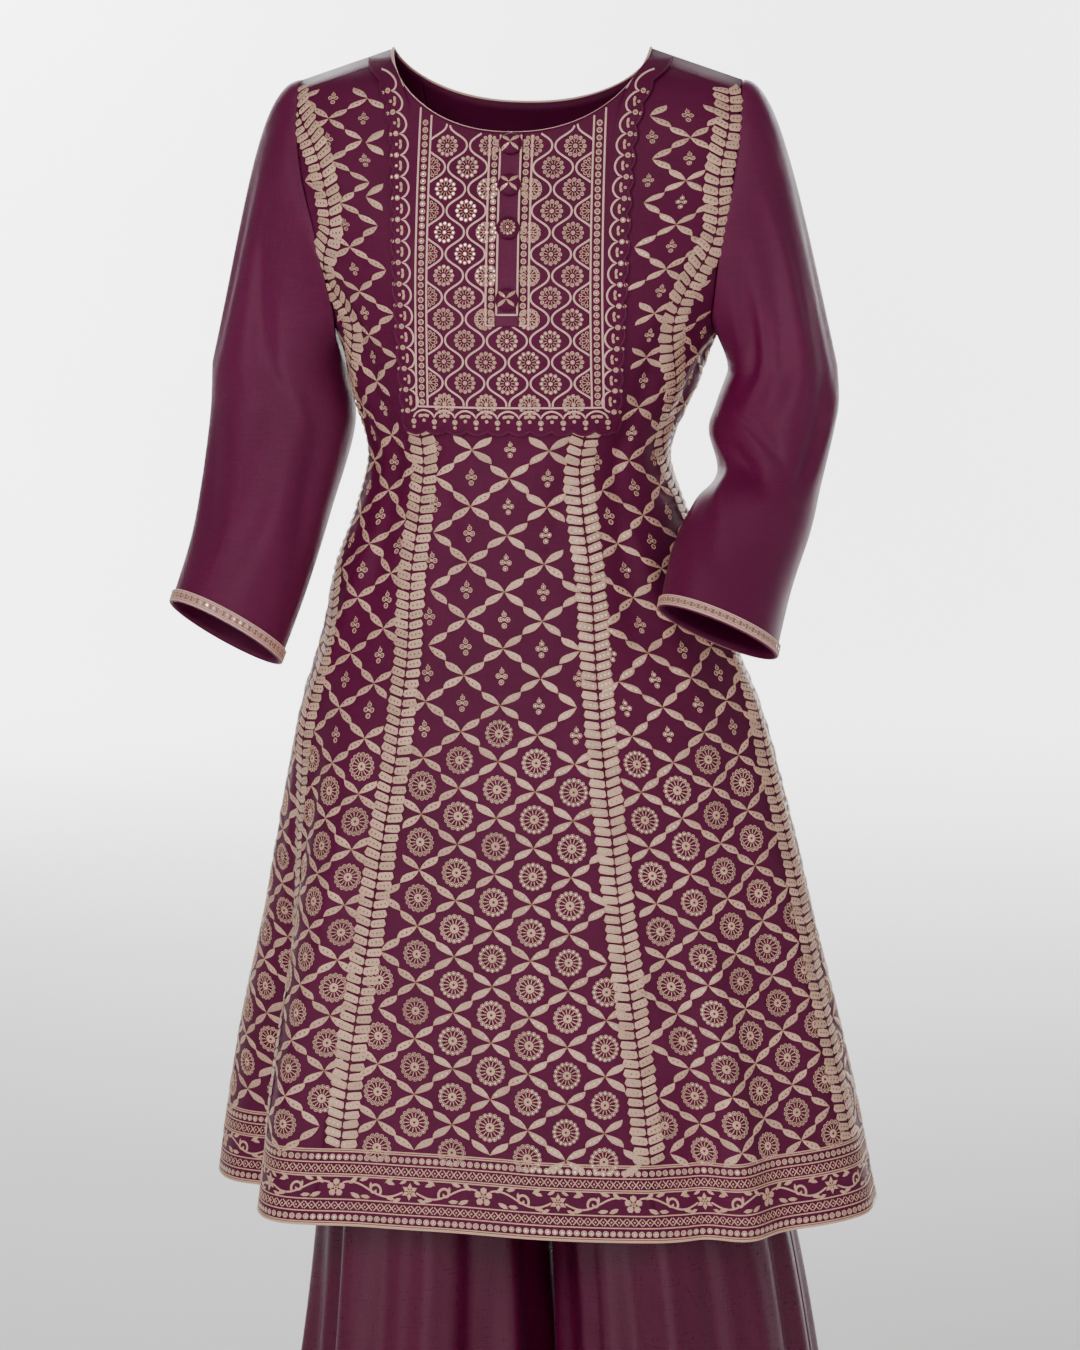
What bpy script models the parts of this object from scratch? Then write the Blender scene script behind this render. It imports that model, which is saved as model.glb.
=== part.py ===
"""A sharara suit: a panelled A-line kurta with an applied yoke, and sharara trousers under it.

Metres, +Z up. The origin is midway between the high shoulder points, the front faces -Y,
and left and right are the viewer's, seen from the front.
"""

import math

import bpy
import numpy as np
from mathutils import Vector
from mathutils.geometry import delaunay_2d_cdt

# Cloth
EMBROIDERED_WALL = 0.0015
PLAIN_WALL = 0.0012
SEAM_GAP = 0.0003
LAYER_GAP = 0.0003

# Kurta, worked from the high shoulder points
NECK_HALF_WIDTH = 0.111
NECK_DEPTH = {"front": 0.072, "back": 0.046}
NECK_SHAPE = (2.2, 1.6)
KURTA_LENGTH = 1.000
HEM_DROP = 0.011
HEM_DROP_ANGLE = 38
HEM_DROP_WIDTH = 38
RING_Z = -0.290
NECK_END = 0.47
SHOULDER_END = 0.72
ARMHOLE_STEPS = 8
SEAM_EASE = 2.0

# Yoke, placket and buttons
YOKE_TOP_Z = -0.0105
YOKE_BOTTOM_Z = -0.322
YOKE_WALL = 0.0012
YOKE_LIFT = 0.0013
YOKE_MARGIN = 0.008
SCALLOP_DEPTH = 0.0035
SIDE_SCALLOPS = 17
BOTTOM_SCALLOPS = 10
SCALLOP_STEPS = 3
PLACKET_WIDTH = 0.020
PLACKET_BOTTOM_Z = -0.233
PLACKET_WALL = 0.0010
PLACKET_LIFT = YOKE_LIFT + YOKE_WALL + LAYER_GAP
BUTTON_RADIUS = 0.0098
BUTTON_HEIGHT = 0.0062
BUTTON_EDGE = 0.0012
BUTTON_LIFT = PLACKET_LIFT + PLACKET_WALL + LAYER_GAP
BUTTON_LEVELS = (-0.0830, -0.1165, -0.1520, -0.2110)

# Sleeves and cuffs
CAP_SHARE = 0.36
CAP_REACH = {"left": 0.108, "right": 0.092}
CAP_LAND = (0.22, -0.97)
CAP_INNER_LEAVE = (0.006, -0.030)
CAP_LAND_REACH = (0.035, 0.40)
SLEEVE_STEP = 0.01
ARMHOLE_EASE = 0.0007
CUFF_TRIM_WIDTH = 0.011
CUFF_TRIM_ROWS = (1.0, 0.5, 0.02)
CUFF_TRIM_WALL = 0.0010
CUFF_TRIM_LIFT = 0.0006

# Sharara
WAIST_Z = -0.420
CROTCH_Z = -0.730
SHARARA_HEM_Z = -1.420
WAISTBAND_HEIGHT = 0.035
WAISTBAND_WALL = 0.0025
WAISTBAND_LIFT = 0.0010
LEG_GAP = 0.006
LEG_LEAN = 0.20

# Rings of the kurta's form: half width, front and back depth, sideways shift, and how far the
# panels are turned round the form, in degrees, at each height.
KURTA_SECTIONS = {
    "z": (0.0, -0.027, -0.050, -0.083, -0.125, -0.180, -0.240, -0.290, -0.350, -0.391,
          -0.443, -0.512, -0.565, -0.652, -0.756, -0.870, -1.000),
    "half_width": (0.111, 0.190, 0.207, 0.218, 0.214, 0.196, 0.1655, 0.150, 0.131, 0.142,
                   0.163, 0.182, 0.201, 0.223, 0.245, 0.270, 0.293),
    "front": (0.022, 0.056, 0.074, 0.090, 0.106, 0.119, 0.125, 0.120, 0.108, 0.109,
              0.113, 0.119, 0.124, 0.130, 0.138, 0.146, 0.156),
    "back": (0.022, 0.050, 0.064, 0.077, 0.088, 0.097, 0.099, 0.094, 0.086, 0.090,
             0.100, 0.112, 0.121, 0.132, 0.144, 0.156, 0.168),
    "shift": (0.0, 0.0, 0.0, 0.0, 0.001, 0.003, 0.004, 0.001, -0.002, -0.001,
              0.001, 0.005, 0.007, 0.010, 0.014, 0.018, 0.023),
    "turn": (0, 0, 0, 0, 0, 0, 0, 0, 0, -1, -2.5, -4, -5, -6, -7, -7.5, -8),
}

# Where the seam beside each centre panel runs: u at each row, as body_point counts them.
PANEL_SEAM = {"row": (0.0, 1.0, 1.15, 1.45, 2.0), "u": (0.30, 0.36, 0.355, 0.285, 0.330)}

# Half the yoke's width at each height.
YOKE_WIDTH = {
    "z": (-0.0105, -0.030, -0.060, -0.110, -0.200, -0.322),
    "half": (0.131, 0.116, 0.105, 0.100, 0.096, 0.089),
}

# The armhole on the front and back panels, from the shoulder tip down to the underarm.
ARMHOLE = {
    "share": (0.0, 0.07, 0.20, 0.40, 0.60, 0.80, 0.93, 1.0),
    "x": (0.190, 0.1893, 0.1885, 0.184, 0.174, 0.1655, 0.1618, 0.1655),
    "z": (-0.027, -0.034, -0.068, -0.110, -0.155, -0.205, -0.233, -0.240),
}

# Flutes of the skirt: where round the hem (0 at the centre front, 90 at the viewer's right),
# how wide, how far out (or in, where negative) at the hem, and the height where each begins.
FLUTES = {
    "angle": (-74, -44, -24, 1, 31, 38, 48, 70, 84, 104, 122, 141, 160, 180, 199, 215, 248),
    "width": (14, 12, 10, 12, 4.5, 5.5, 7, 11, 9, 9, 10, 9, 10, 9, 10, 9, 13),
    "out": (-0.050, 0.036, 0.008, 0.004, -0.011, 0.012, -0.006, 0.006, -0.004, -0.010, 0.013,
            -0.008, 0.011, -0.010, 0.010, -0.012, 0.030),
    "top_z": (-0.50, -0.52, -0.60, -0.60, -0.62, -0.62, -0.64, -0.52, -0.50, -0.50, -0.48, -0.50,
              -0.50, -0.46, -0.50, -0.50, -0.50),
}

# Rings of each sleeve below its cap, in the viewer's left and right. Roll lifts the outer edge,
# pitch lifts the front edge.
SLEEVE_RINGS = {
    "left": {
        "x": (-0.2140, -0.2115, -0.2240, -0.2350, -0.2525),
        "y": (0.018, 0.012, -0.008, -0.030, -0.055),
        "z": (-0.275, -0.321, -0.391, -0.443, -0.502),
        "half_width": (0.0600, 0.0640, 0.0580, 0.0545, 0.0525),
        "half_depth": (0.056, 0.053, 0.050, 0.048, 0.048),
        "roll": (4, 4, 8, 14, 27),
        "pitch": (0, 2, 8, 15, 22),
    },
    "right": {
        "x": (0.2250, 0.2210, 0.2165, 0.2160, 0.2035, 0.1880, 0.1785),
        "y": (0.003, -0.004, -0.012, -0.034, -0.060, -0.095, -0.140),
        "z": (-0.275, -0.304, -0.327, -0.366, -0.396, -0.438, -0.487),
        "half_width": (0.0480, 0.0535, 0.0540, 0.0450, 0.0510, 0.0530, 0.0525),
        "half_depth": (0.056, 0.054, 0.052, 0.050, 0.050, 0.049, 0.047),
        "roll": (4, 2, 0, -6, -12, -17, -21.5),
        "pitch": (0, 2, 6, 14, 22, 24, 20),
    },
}

# Folds of the sleeves: where round (0 outer, 90 front, 180 inner) at the start and the end, the
# stretch along the sleeve from 0 at the armhole to 1 at the cuff, half width in degrees, depth.
SLEEVE_FOLDS = {
    "left": {
        "from_angle": (62, 112, 25, 300, 215),
        "to_angle": (118, 150, 60, 250, 240),
        "start": (0.10, 0.30, 0.40, 0.15, 0.45),
        "end": (0.62, 0.95, 0.98, 0.70, 0.95),
        "width": (15, 13, 16, 18, 15),
        "out": (-0.0055, -0.0045, -0.0035, -0.0050, -0.0045),
    },
    "right": {
        "from_angle": (78, 110, 30, 150, 175, 300, 230),
        "to_angle": (95, 128, 45, 75, 95, 260, 250),
        "start": (0.08, 0.05, 0.15, 0.55, 0.68, 0.12, 0.50),
        "end": (0.60, 0.50, 0.85, 0.80, 0.95, 0.62, 0.95),
        "width": (12, 12, 14, 13, 12, 18, 15),
        "out": (-0.0055, -0.0060, -0.0045, -0.0060, -0.0045, -0.0050, -0.0045),
    },
}

# Rings of the sharara: the hip above the crotch, each leg below it, and the sideways shift.
SHARARA_SECTIONS = {
    "z": (-0.420, -0.500, -0.600, -0.730, -0.900, -1.067, -1.250, -1.420),
    "hip_half_width": (0.122, 0.140, 0.157, 0.170, 0.187, 0.209, 0.232, 0.256),
    "front": (0.088, 0.094, 0.099, 0.102, 0.112, 0.122, 0.140, 0.158),
    "back": (0.0893, 0.097, 0.104, 0.108, 0.120, 0.132, 0.150, 0.168),
    "shift": (0.0, 0.002, 0.006, 0.012, 0.022, 0.034, 0.040, 0.044),
}
LEG_FLUTES = 9
LEG_FLUTE_DEPTH = 0.009
LEG_FLUTE_PHASE = {"left": 2.2, "right": 0.6}
LEG_FLUTE_TOP_Z = {"front": -0.62, "back": -0.58}
LEG_CALM = (0.12, 0.3)

COLOURS = {
    "wine_embroidered": (0.105, 0.006, 0.045),
    "wine_plain": (0.115, 0.005, 0.048),
    "wine_satin": (0.090, 0.004, 0.036),
    "rose_gold_trim": (0.70, 0.42, 0.32),
}


def smooth_value(at, keys, values):
    """A cubic curve through a table's rows, with each row's slope from its two neighbours."""
    keys = np.asarray(keys, float)
    values = np.asarray(values, float)
    if keys[0] > keys[-1]:
        keys, values = keys[::-1], values[::-1]
    slopes = np.gradient(values, keys)
    at = np.clip(np.asarray(at, float), keys[0], keys[-1])
    i = np.clip(np.searchsorted(keys, at) - 1, 0, len(keys) - 2)
    span = keys[i + 1] - keys[i]
    t = (at - keys[i]) / span
    return (
        (1 + 2 * t) * (1 - t) ** 2 * values[i]
        + t * (1 - t) ** 2 * span * slopes[i]
        + t * t * (3 - 2 * t) * values[i + 1]
        + t * t * (t - 1) * span * slopes[i + 1]
    )


def smooth_step(value):
    value = np.clip(value, 0.0, 1.0)
    return value * value * (3 - 2 * value)


def shoulder_straight(z, value):
    """Above the shoulder tip the form's half width follows the straight shoulder seam."""
    tip_x, tip_z = ARMHOLE["x"][0], ARMHOLE["z"][0]
    straight = NECK_HALF_WIDTH + (tip_x - NECK_HALF_WIDTH) * np.clip(z / tip_z, 0, 1)
    return np.where(z > tip_z, straight, value)


def kurta_section(z, column):
    value = smooth_value(z, KURTA_SECTIONS["z"], KURTA_SECTIONS[column])
    return shoulder_straight(z, value) if column == "half_width" else value


def flute_offset(angle, z):
    """How far the skirt's flutes stand out of the plain form at an angle and height."""
    offset = np.zeros(np.broadcast(angle, z).shape)
    for centre, width, out, top_z in zip(*(FLUTES[c] for c in ("angle", "width", "out", "top_z"))):
        away = (angle - centre + 180) % 360 - 180
        grown = smooth_step((top_z - z) / (top_z + KURTA_LENGTH))
        offset += out * grown * np.exp(-((away / width) ** 2))
    return offset


def top_edge(u, face):
    """Where each column of a panel starts: x and z on the neckline, shoulder seam or armhole."""
    w = np.abs(u)
    power, root = NECK_SHAPE
    neck_x = NECK_HALF_WIDTH * np.sin(math.pi / 2 * np.clip(w / NECK_END, 0, 1))
    dip = (1 - np.clip(neck_x / NECK_HALF_WIDTH, 0, 1) ** power) ** (1 / root)
    neck_z = -NECK_DEPTH[face] * dip
    along = np.clip((w - NECK_END) / (SHOULDER_END - NECK_END), 0, 1)
    seam_x = NECK_HALF_WIDTH + (ARMHOLE["x"][0] - NECK_HALF_WIDTH) * along
    seam_z = ARMHOLE["z"][0] * along
    share = np.clip((w - SHOULDER_END) / (1 - SHOULDER_END), 0, 1)
    hole_x = smooth_value(share, ARMHOLE["share"], ARMHOLE["x"])
    hole_z = smooth_value(share, ARMHOLE["share"], ARMHOLE["z"])
    x = np.where(w <= NECK_END, neck_x, np.where(w <= SHOULDER_END, seam_x, hole_x))
    z = np.where(w <= NECK_END, neck_z, np.where(w <= SHOULDER_END, seam_z, hole_z))
    return x, z


def upper_x(u, row, x_top):
    """Half widths above the bust ring: each column leaves its top edge and settles on the ring. The
    columns beside the armhole are let out, so that the side seam keeps to the form's own width."""
    settle = 1 - (1 - row) ** SEAM_EASE
    ring_half = float(kurta_section(RING_Z, "half_width"))
    underarm_x, underarm_z = ARMHOLE["x"][-1], ARMHOLE["z"][-1]
    column = x_top * (1 - settle) + ring_half * np.sin(np.radians(90 * np.abs(u))) * settle
    side = underarm_x * (1 - settle) + ring_half * settle
    spare = kurta_section(underarm_z + (RING_Z - underarm_z) * row, "half_width") - side
    share = np.clip((np.abs(u) - SHOULDER_END) / (1 - SHOULDER_END), 0, 1)
    return np.sign(u) * (column + spare * share**2)


def body_point(face, u, row):
    """A point of the kurta's outer form. u runs from -1 to 1 across a face, from side seam to side
    seam; row runs from 0 at the top edge through 1 at the bust ring to 2 at the hem."""
    u, row = np.broadcast_arrays(np.asarray(u, float), np.asarray(row, float))
    forward = -1.0 if face == "front" else 1.0
    x_top, z_top = top_edge(u, face)
    up = np.clip(row, 0, 1)
    flat_angle = 90 * u if face == "front" else 180 - 90 * u
    away = (flat_angle - HEM_DROP_ANGLE + 180) % 360 - 180
    hem_z = -KURTA_LENGTH - HEM_DROP * np.exp(-((away / HEM_DROP_WIDTH) ** 2))
    z = np.where(row <= 1, z_top + (RING_Z - z_top) * up, RING_Z + (hem_z - RING_Z) * (row - 1))
    half = kurta_section(z, "half_width")
    depth = kurta_section(z, face)
    x_upper = upper_x(u, up, x_top)
    y_upper = forward * depth * np.sqrt(1 - np.clip(np.abs(x_upper) / half, 0, 1) ** 2)
    angle = flat_angle + kurta_section(z, "turn")
    theta = np.radians(angle)
    depth_here = np.where(np.cos(theta) > 0, kurta_section(z, "front"), kurta_section(z, "back"))
    out = flute_offset(angle, z)
    plan = unit(np.stack([np.sin(theta) / half, -np.cos(theta) / depth_here], -1))
    x_lower = half * np.sin(theta) + plan[..., 0] * out
    y_lower = -depth_here * np.cos(theta) + plan[..., 1] * out
    x = np.where(row <= 1, x_upper, x_lower) + kurta_section(z, "shift")
    return np.stack([x, np.where(row <= 1, y_upper, y_lower), z], -1)


def unit(vectors):
    return vectors / np.maximum(np.linalg.norm(vectors, axis=-1, keepdims=True), 1e-12)


def material(name):
    made = bpy.data.materials.get(name) or bpy.data.materials.new(name)
    made.use_nodes = True
    shader = made.node_tree.nodes["Principled BSDF"]
    shader.inputs["Base Color"].default_value = (*COLOURS[name], 1.0)
    shader.inputs["Roughness"].default_value = 0.35 if name == "rose_gold_trim" else 0.6
    shader.inputs["Metallic"].default_value = 0.6 if name == "rose_gold_trim" else 0.0
    return made


def add_object(name, mesh, material_name, collection):
    mesh.materials.append(material(material_name))
    made = bpy.data.objects.new(name, mesh)
    collection.objects.link(made)
    return made


def draw_in(points, edge, distance=SEAM_GAP / 2):
    """Moves one edge row or column of a grid towards its neighbour, which leaves the seam's gap."""
    index, neighbour = {
        "first_row": ((0,), (1,)),
        "last_row": ((-1,), (-2,)),
        "first_column": ((slice(None), 0), (slice(None), 1)),
        "last_column": ((slice(None), -1), (slice(None), -2)),
    }[edge]
    points[index] += unit(points[neighbour] - points[index]) * distance


def grid_faces(rows, columns, wraps):
    """Quads of a grid whose rows run down and whose columns run anticlockwise seen from above, so
    they face out. With wraps, the last column meets the first."""
    index = np.arange(rows * columns).reshape(rows, columns)
    if wraps:
        index = np.concatenate([index, index[:, :1]], axis=1)
    quads = np.stack([index[:-1, :-1], index[1:, :-1], index[1:, 1:], index[:-1, 1:]], -1)
    return quads.reshape(-1, 4), index


def add_sheet(name, points, wall, material_name, collection, wraps=False):
    """A piece of cloth: an open surface through a grid of points, with its wall on the inside."""
    quads, _ = grid_faces(*points.shape[:2], wraps)
    mesh = bpy.data.meshes.new(name)
    mesh.from_pydata(points.reshape(-1, 3).tolist(), [], quads.tolist())
    made = add_object(name, mesh, material_name, collection)
    add_wall(made, wall)


def add_wall(made, wall):
    """Gives an open surface its thickness, on the side away from its faces."""
    made.data.shade_smooth()
    solidify = made.modifiers.new("wall", "SOLIDIFY")
    solidify.thickness = wall
    solidify.offset = -1.0


def add_seamed_panel(name, outer, inner, material_name, collection, wraps=False):
    """A piece that meets others edge to edge. Its inner surface is set in along the whole form's
    normals, which two pieces share at a seam, and a rim closes the wall. Both surfaces are cut along
    the same diagonals, so that they stay apart where the cloth is twisted."""
    quads, index = grid_faces(*outer.shape[:2], wraps)
    count = outer.shape[0] * outer.shape[1]
    halves = np.concatenate([quads[:, [0, 1, 2]], quads[:, [0, 2, 3]]])
    ways = [index[0], index[-1][::-1]]
    if not wraps:
        ways += [index[::-1, 0], index[:, -1]]
    rims = [np.stack([way[:-1], way[1:], way[1:] + count, way[:-1] + count], -1) for way in ways]
    faces = halves.tolist() + (halves[:, ::-1] + count).tolist() + np.concatenate(rims).tolist()
    mesh = bpy.data.meshes.new(name)
    mesh.from_pydata(np.concatenate([outer, inner]).reshape(-1, 3).tolist(), [], faces)
    mesh.shade_smooth()
    mesh.set_sharp_from_angle(angle=math.radians(50))
    add_object(name, mesh, material_name, collection)


def form_normals(point, u, row, u_range, row_range, handed):
    """Unit normals of a form from the differences of its points a small step apart."""
    step = 1e-3
    across = point(np.minimum(u + step, u_range[1]), row) - point(np.maximum(u - step, u_range[0]), row)
    down = point(u, np.minimum(row + step, row_range[1])) - point(u, np.maximum(row - step, row_range[0]))
    return unit(np.cross(down, across)) * handed


def kurta_panel(name, face, share, rows, sign, seams, collection):
    """One panel of the kurta, from its top edge to the hem. A centre panel has sign 0 and shares
    from -1 to 1 between its seams; a side panel has shares from 0 at its seam to 1 at the side."""
    share, row = np.meshgrid(share, rows)
    seam = smooth_value(row, PANEL_SEAM["row"], PANEL_SEAM["u"])
    u = share * seam if sign == 0 else sign * (seam + (1 - seam) * share)
    if (face == "front") == (sign < 0):
        u, row = u[:, ::-1], row[:, ::-1]
    handed = 1 if face == "front" else -1
    points = body_point(face, u, row)
    normals = form_normals(
        lambda a, b: body_point(face, a, b), u, row, (-0.9995, 0.9995), (0.0, 2.0), handed)
    for edge in seams:
        draw_in(points, edge)
    inner = points - normals * EMBROIDERED_WALL
    forward = -1.0 if face == "front" else 1.0
    for surface in (points, inner):
        clear = forward * np.maximum(forward * surface[..., 1], SEAM_GAP / 2)
        surface[..., 1] = np.where(row <= 1, clear, surface[..., 1])
    add_seamed_panel(name, points, inner, "wine_embroidered", collection)


def build_kurta_body(collection):
    above = np.concatenate([(0, 0.04), np.linspace(0.13, 1, 6)])
    rows = np.concatenate([above, 1 + np.linspace(0, 1, 12)[1:] ** 1.5])
    for face in ("front", "back"):
        kurta_panel(f"kurta_{face}_centre", face, np.linspace(-1, 1, 10), rows, 0,
                    ("first_column", "last_column"), collection)
        for hand, sign in (("left", -1), ("right", 1)):
            kurta_panel(f"kurta_{face}_{hand}", face, side_shares(), rows, sign,
                        ("first_row", "first_column", "last_column"), collection)


def side_shares():
    """Columns of a side panel: a few across the neck, then the shoulder seam, then the armhole.
    They are even along the top edge, where u starts from the seam's own top."""
    top_seam = PANEL_SEAM["u"][0]
    u = np.concatenate([
        np.linspace(top_seam, NECK_END, 4),
        np.linspace(NECK_END, SHOULDER_END, 4)[1:],
        np.linspace(SHOULDER_END, 1.0, ARMHOLE_STEPS + 1)[1:],
    ])
    return (u - top_seam) / (1 - top_seam)


def front_at(x, z):
    """The kurta's outer front over the yoke, as a height field in x and z."""
    half = kurta_section(z, "half_width")
    depth = kurta_section(z, "front")
    local = x - kurta_section(z, "shift")
    return -depth * np.sqrt(np.clip(1 - (local / half) ** 2, 0, 1))


def front_normal(x, z, step=1e-4):
    slope_x = (front_at(x + step, z) - front_at(x - step, z)) / (2 * step)
    slope_z = (front_at(x, z + step) - front_at(x, z - step)) / (2 * step)
    return unit(np.stack([slope_x, -np.ones_like(slope_x), slope_z], -1))


def neckline_z(x):
    power, root = NECK_SHAPE
    inside = np.clip(np.abs(x) / NECK_HALF_WIDTH, 0, 1)
    return -NECK_DEPTH["front"] * (1 - inside**power) ** (1 / root)


def yoke_half(z):
    return smooth_value(z, YOKE_WIDTH["z"], YOKE_WIDTH["half"])


def yoke_outline():
    """The yoke's edge in x and z: the neckline, then a scalloped side, bottom and side."""
    turn = np.radians(np.linspace(88, -88, 25))
    neck_x = NECK_HALF_WIDTH * np.sin(turn)
    neck = list(zip(neck_x.tolist(), (neckline_z(neck_x) - LAYER_GAP).tolist()))
    share = np.linspace(0, 1, SIDE_SCALLOPS * SCALLOP_STEPS + 1)
    side_z = YOKE_TOP_Z + (YOKE_BOTTOM_Z - YOKE_TOP_Z) * share
    side_x = yoke_half(side_z) + SCALLOP_DEPTH * np.abs(np.sin(math.pi * share * SIDE_SCALLOPS))
    side = list(zip(side_x.tolist(), side_z.tolist()))
    share = np.linspace(0, 1, BOTTOM_SCALLOPS * SCALLOP_STEPS + 1)
    bottom_x = YOKE_WIDTH["half"][-1] * (2 * share - 1)
    bottom_z = YOKE_BOTTOM_Z - SCALLOP_DEPTH * np.abs(np.sin(math.pi * share * BOTTOM_SCALLOPS))
    bottom = list(zip(bottom_x.tolist(), bottom_z.tolist()))
    return neck + [(-x, z) for x, z in side] + bottom[1:-1] + side[::-1]


def patch_mesh(name, outline, inside, lift):
    """An outline in x and z with points inside it, filled with triangles and laid on the front."""
    points = [Vector(p) for p in outline + inside]
    ring = list(range(len(outline)))
    edges = [(i, (i + 1) % len(ring)) for i in ring]
    flat, _, triangles, *_ = delaunay_2d_cdt(points, edges, [ring], 1, 1e-6)
    x = np.array([p[0] for p in flat])
    z = np.array([p[1] for p in flat])
    placed = np.stack([x, front_at(x, z), z], -1) + front_normal(x, z) * lift
    mesh = bpy.data.meshes.new(name)
    mesh.from_pydata(placed.tolist(), [], [list(t) for t in triangles])
    return mesh


def build_yoke(collection):
    inside = []
    for z in np.linspace(YOKE_TOP_Z - YOKE_MARGIN, YOKE_BOTTOM_Z + YOKE_MARGIN, 19):
        reach = float(yoke_half(z)) - YOKE_MARGIN
        for x in np.linspace(-reach, reach, 12):
            if z < float(neckline_z(x)) - YOKE_MARGIN:
                inside.append((float(x), float(z)))
    mesh = patch_mesh("yoke", yoke_outline(), inside, YOKE_LIFT + YOKE_WALL)
    made = add_object("yoke", mesh, "wine_embroidered", collection)
    add_wall(made, YOKE_WALL)


def build_placket(collection):
    """The plain strip down the middle of the yoke, a grid moved out from the yoke's points."""
    half = PLACKET_WIDTH / 2
    x, z = np.meshgrid(
        np.linspace(-half, half, 4),
        np.linspace(-NECK_DEPTH["front"] - 0.0006, PLACKET_BOTTOM_Z, 15),
    )
    points = np.stack([x, front_at(x, z), z], -1) + front_normal(x, z) * (PLACKET_LIFT + PLACKET_WALL)
    add_sheet("placket", points, PLACKET_WALL, "wine_plain", collection)


def build_buttons(collection):
    """Cloth-covered domes, each a turned profile that runs from the crown to the flat back."""
    steps = np.linspace(0, 80, 5)
    crown = [(BUTTON_RADIUS * math.sin(math.radians(a)),
              BUTTON_EDGE + (BUTTON_HEIGHT - BUTTON_EDGE) * math.cos(math.radians(a))) for a in steps]
    profile = crown + [(BUTTON_RADIUS, BUTTON_EDGE / 2), (BUTTON_RADIUS - BUTTON_EDGE, 0.0), (0.0, 0.0)]
    mesh = bpy.data.meshes.new("button")
    points = [(radius, 0.0, height) for radius, height in profile]
    mesh.from_pydata(points, [(i, i + 1) for i in range(len(points) - 1)], [])
    mesh.materials.append(material("wine_embroidered"))
    for number, level in enumerate(BUTTON_LEVELS, start=1):
        made = bpy.data.objects.new(f"button_{number}", mesh)
        collection.objects.link(made)
        screw = made.modifiers.new("turned", "SCREW")
        screw.steps = screw.render_steps = 16
        screw.use_merge_vertices = True
        screw.merge_threshold = 0.0001
        z = np.array(level)
        normal = Vector(front_normal(np.array(0.0), z))
        made.location = Vector((0.0, float(front_at(np.array(0.0), z)), level)) + normal * BUTTON_LIFT
        made.rotation_euler = normal.to_track_quat("Z", "Y").to_euler()


def armhole_loop(side, angle):
    """The seam loop where a sleeve is set in: 0 at the shoulder tip, 90 front, 180 underarm, 270 back.
    It stands a hair outside the panels' edge."""
    front = angle <= 180
    share = np.where(front, angle / 180, (360 - angle) / 180)
    u = side * (SHOULDER_END + (1 - SHOULDER_END) * share)
    on_front = body_point("front", u, np.zeros_like(u))
    on_back = body_point("back", u, np.zeros_like(u))
    return np.where(front[..., None], on_front, on_back) + np.array([side * ARMHOLE_EASE, 0, 0])


def sleeve_ring(hand, angle, station):
    """A ring of the sleeve below its cap; station counts the rows of SLEEVE_RINGS."""
    table = SLEEVE_RINGS[hand]
    side = -1.0 if hand == "left" else 1.0
    stations = np.arange(len(table["x"]))
    value = {c: smooth_value(station, stations, table[c]) for c in table}
    roll, pitch, turn = np.radians(value["roll"]), np.radians(value["pitch"]), np.radians(angle)
    zero = np.zeros_like(roll)
    across = np.stack([side * np.cos(roll), zero, np.sin(roll)], -1)
    ahead = np.stack([zero, -np.cos(pitch), np.sin(pitch)], -1)
    centre = np.stack([value["x"], value["y"], value["z"]], -1)
    return (centre + across * (value["half_width"] * np.cos(turn))[..., None]
            + ahead * (value["half_depth"] * np.sin(turn))[..., None])


def sleeve_fold(hand, angle, along):
    table = SLEEVE_FOLDS[hand]
    offset = np.zeros(np.broadcast(angle, along).shape)
    for row in zip(*(table[c] for c in ("from_angle", "to_angle", "start", "end", "width", "out"))):
        from_angle, to_angle, start, end, width, out = row
        share = np.clip((along - start) / (end - start), 0, 1)
        away = (angle - (from_angle + (to_angle - from_angle) * share) + 180) % 360 - 180
        offset += out * np.sin(math.pi * share) ** 2 * np.exp(-((away / width) ** 2))
    return offset


def sleeve_form(hand, angle, along):
    """A sleeve without its folds: a cap that leaves the armhole and bends down into the first ring,
    then the rings down to the cuff. along runs from 0 at the armhole to 1 at the cuff."""
    angle, along = np.broadcast_arrays(np.asarray(angle, float), np.asarray(along, float))
    angle = angle % 360
    side = -1.0 if hand == "left" else 1.0
    last = len(SLEEVE_RINGS[hand]["x"]) - 1
    station = np.clip((along - CAP_SHARE) / (1 - CAP_SHARE), 0, 1) * last
    below = sleeve_ring(hand, angle, station)
    start = armhole_loop(side, angle)
    end = sleeve_ring(hand, angle, np.zeros_like(along))
    leave_to = unit(sleeve_ring(hand, angle, np.full_like(along, 0.05)) - end)
    outer = ((1 + np.cos(np.radians(angle))) / 2)[..., None]
    land_x, land_z = CAP_LAND
    leave_to = unit(leave_to * (1 - outer) + np.array([side * land_x, 0, land_z]) * outer)
    inner_x, inner_z = CAP_INNER_LEAVE
    leave = (outer * np.array([side * CAP_REACH[hand], 0, 0])
             + (1 - outer) * np.array([side * inner_x, 0, inner_z]))
    reach, more_reach = CAP_LAND_REACH
    arrive = leave_to * (reach + more_reach * outer**1.5)
    t = np.clip(along / CAP_SHARE, 0, 1)[..., None]
    cap = ((1 + 2 * t) * (1 - t) ** 2 * start + t * (1 - t) ** 2 * leave
           + t * t * (3 - 2 * t) * end + t * t * (t - 1) * arrive)
    return np.where(along[..., None] < CAP_SHARE, cap, below)


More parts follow.
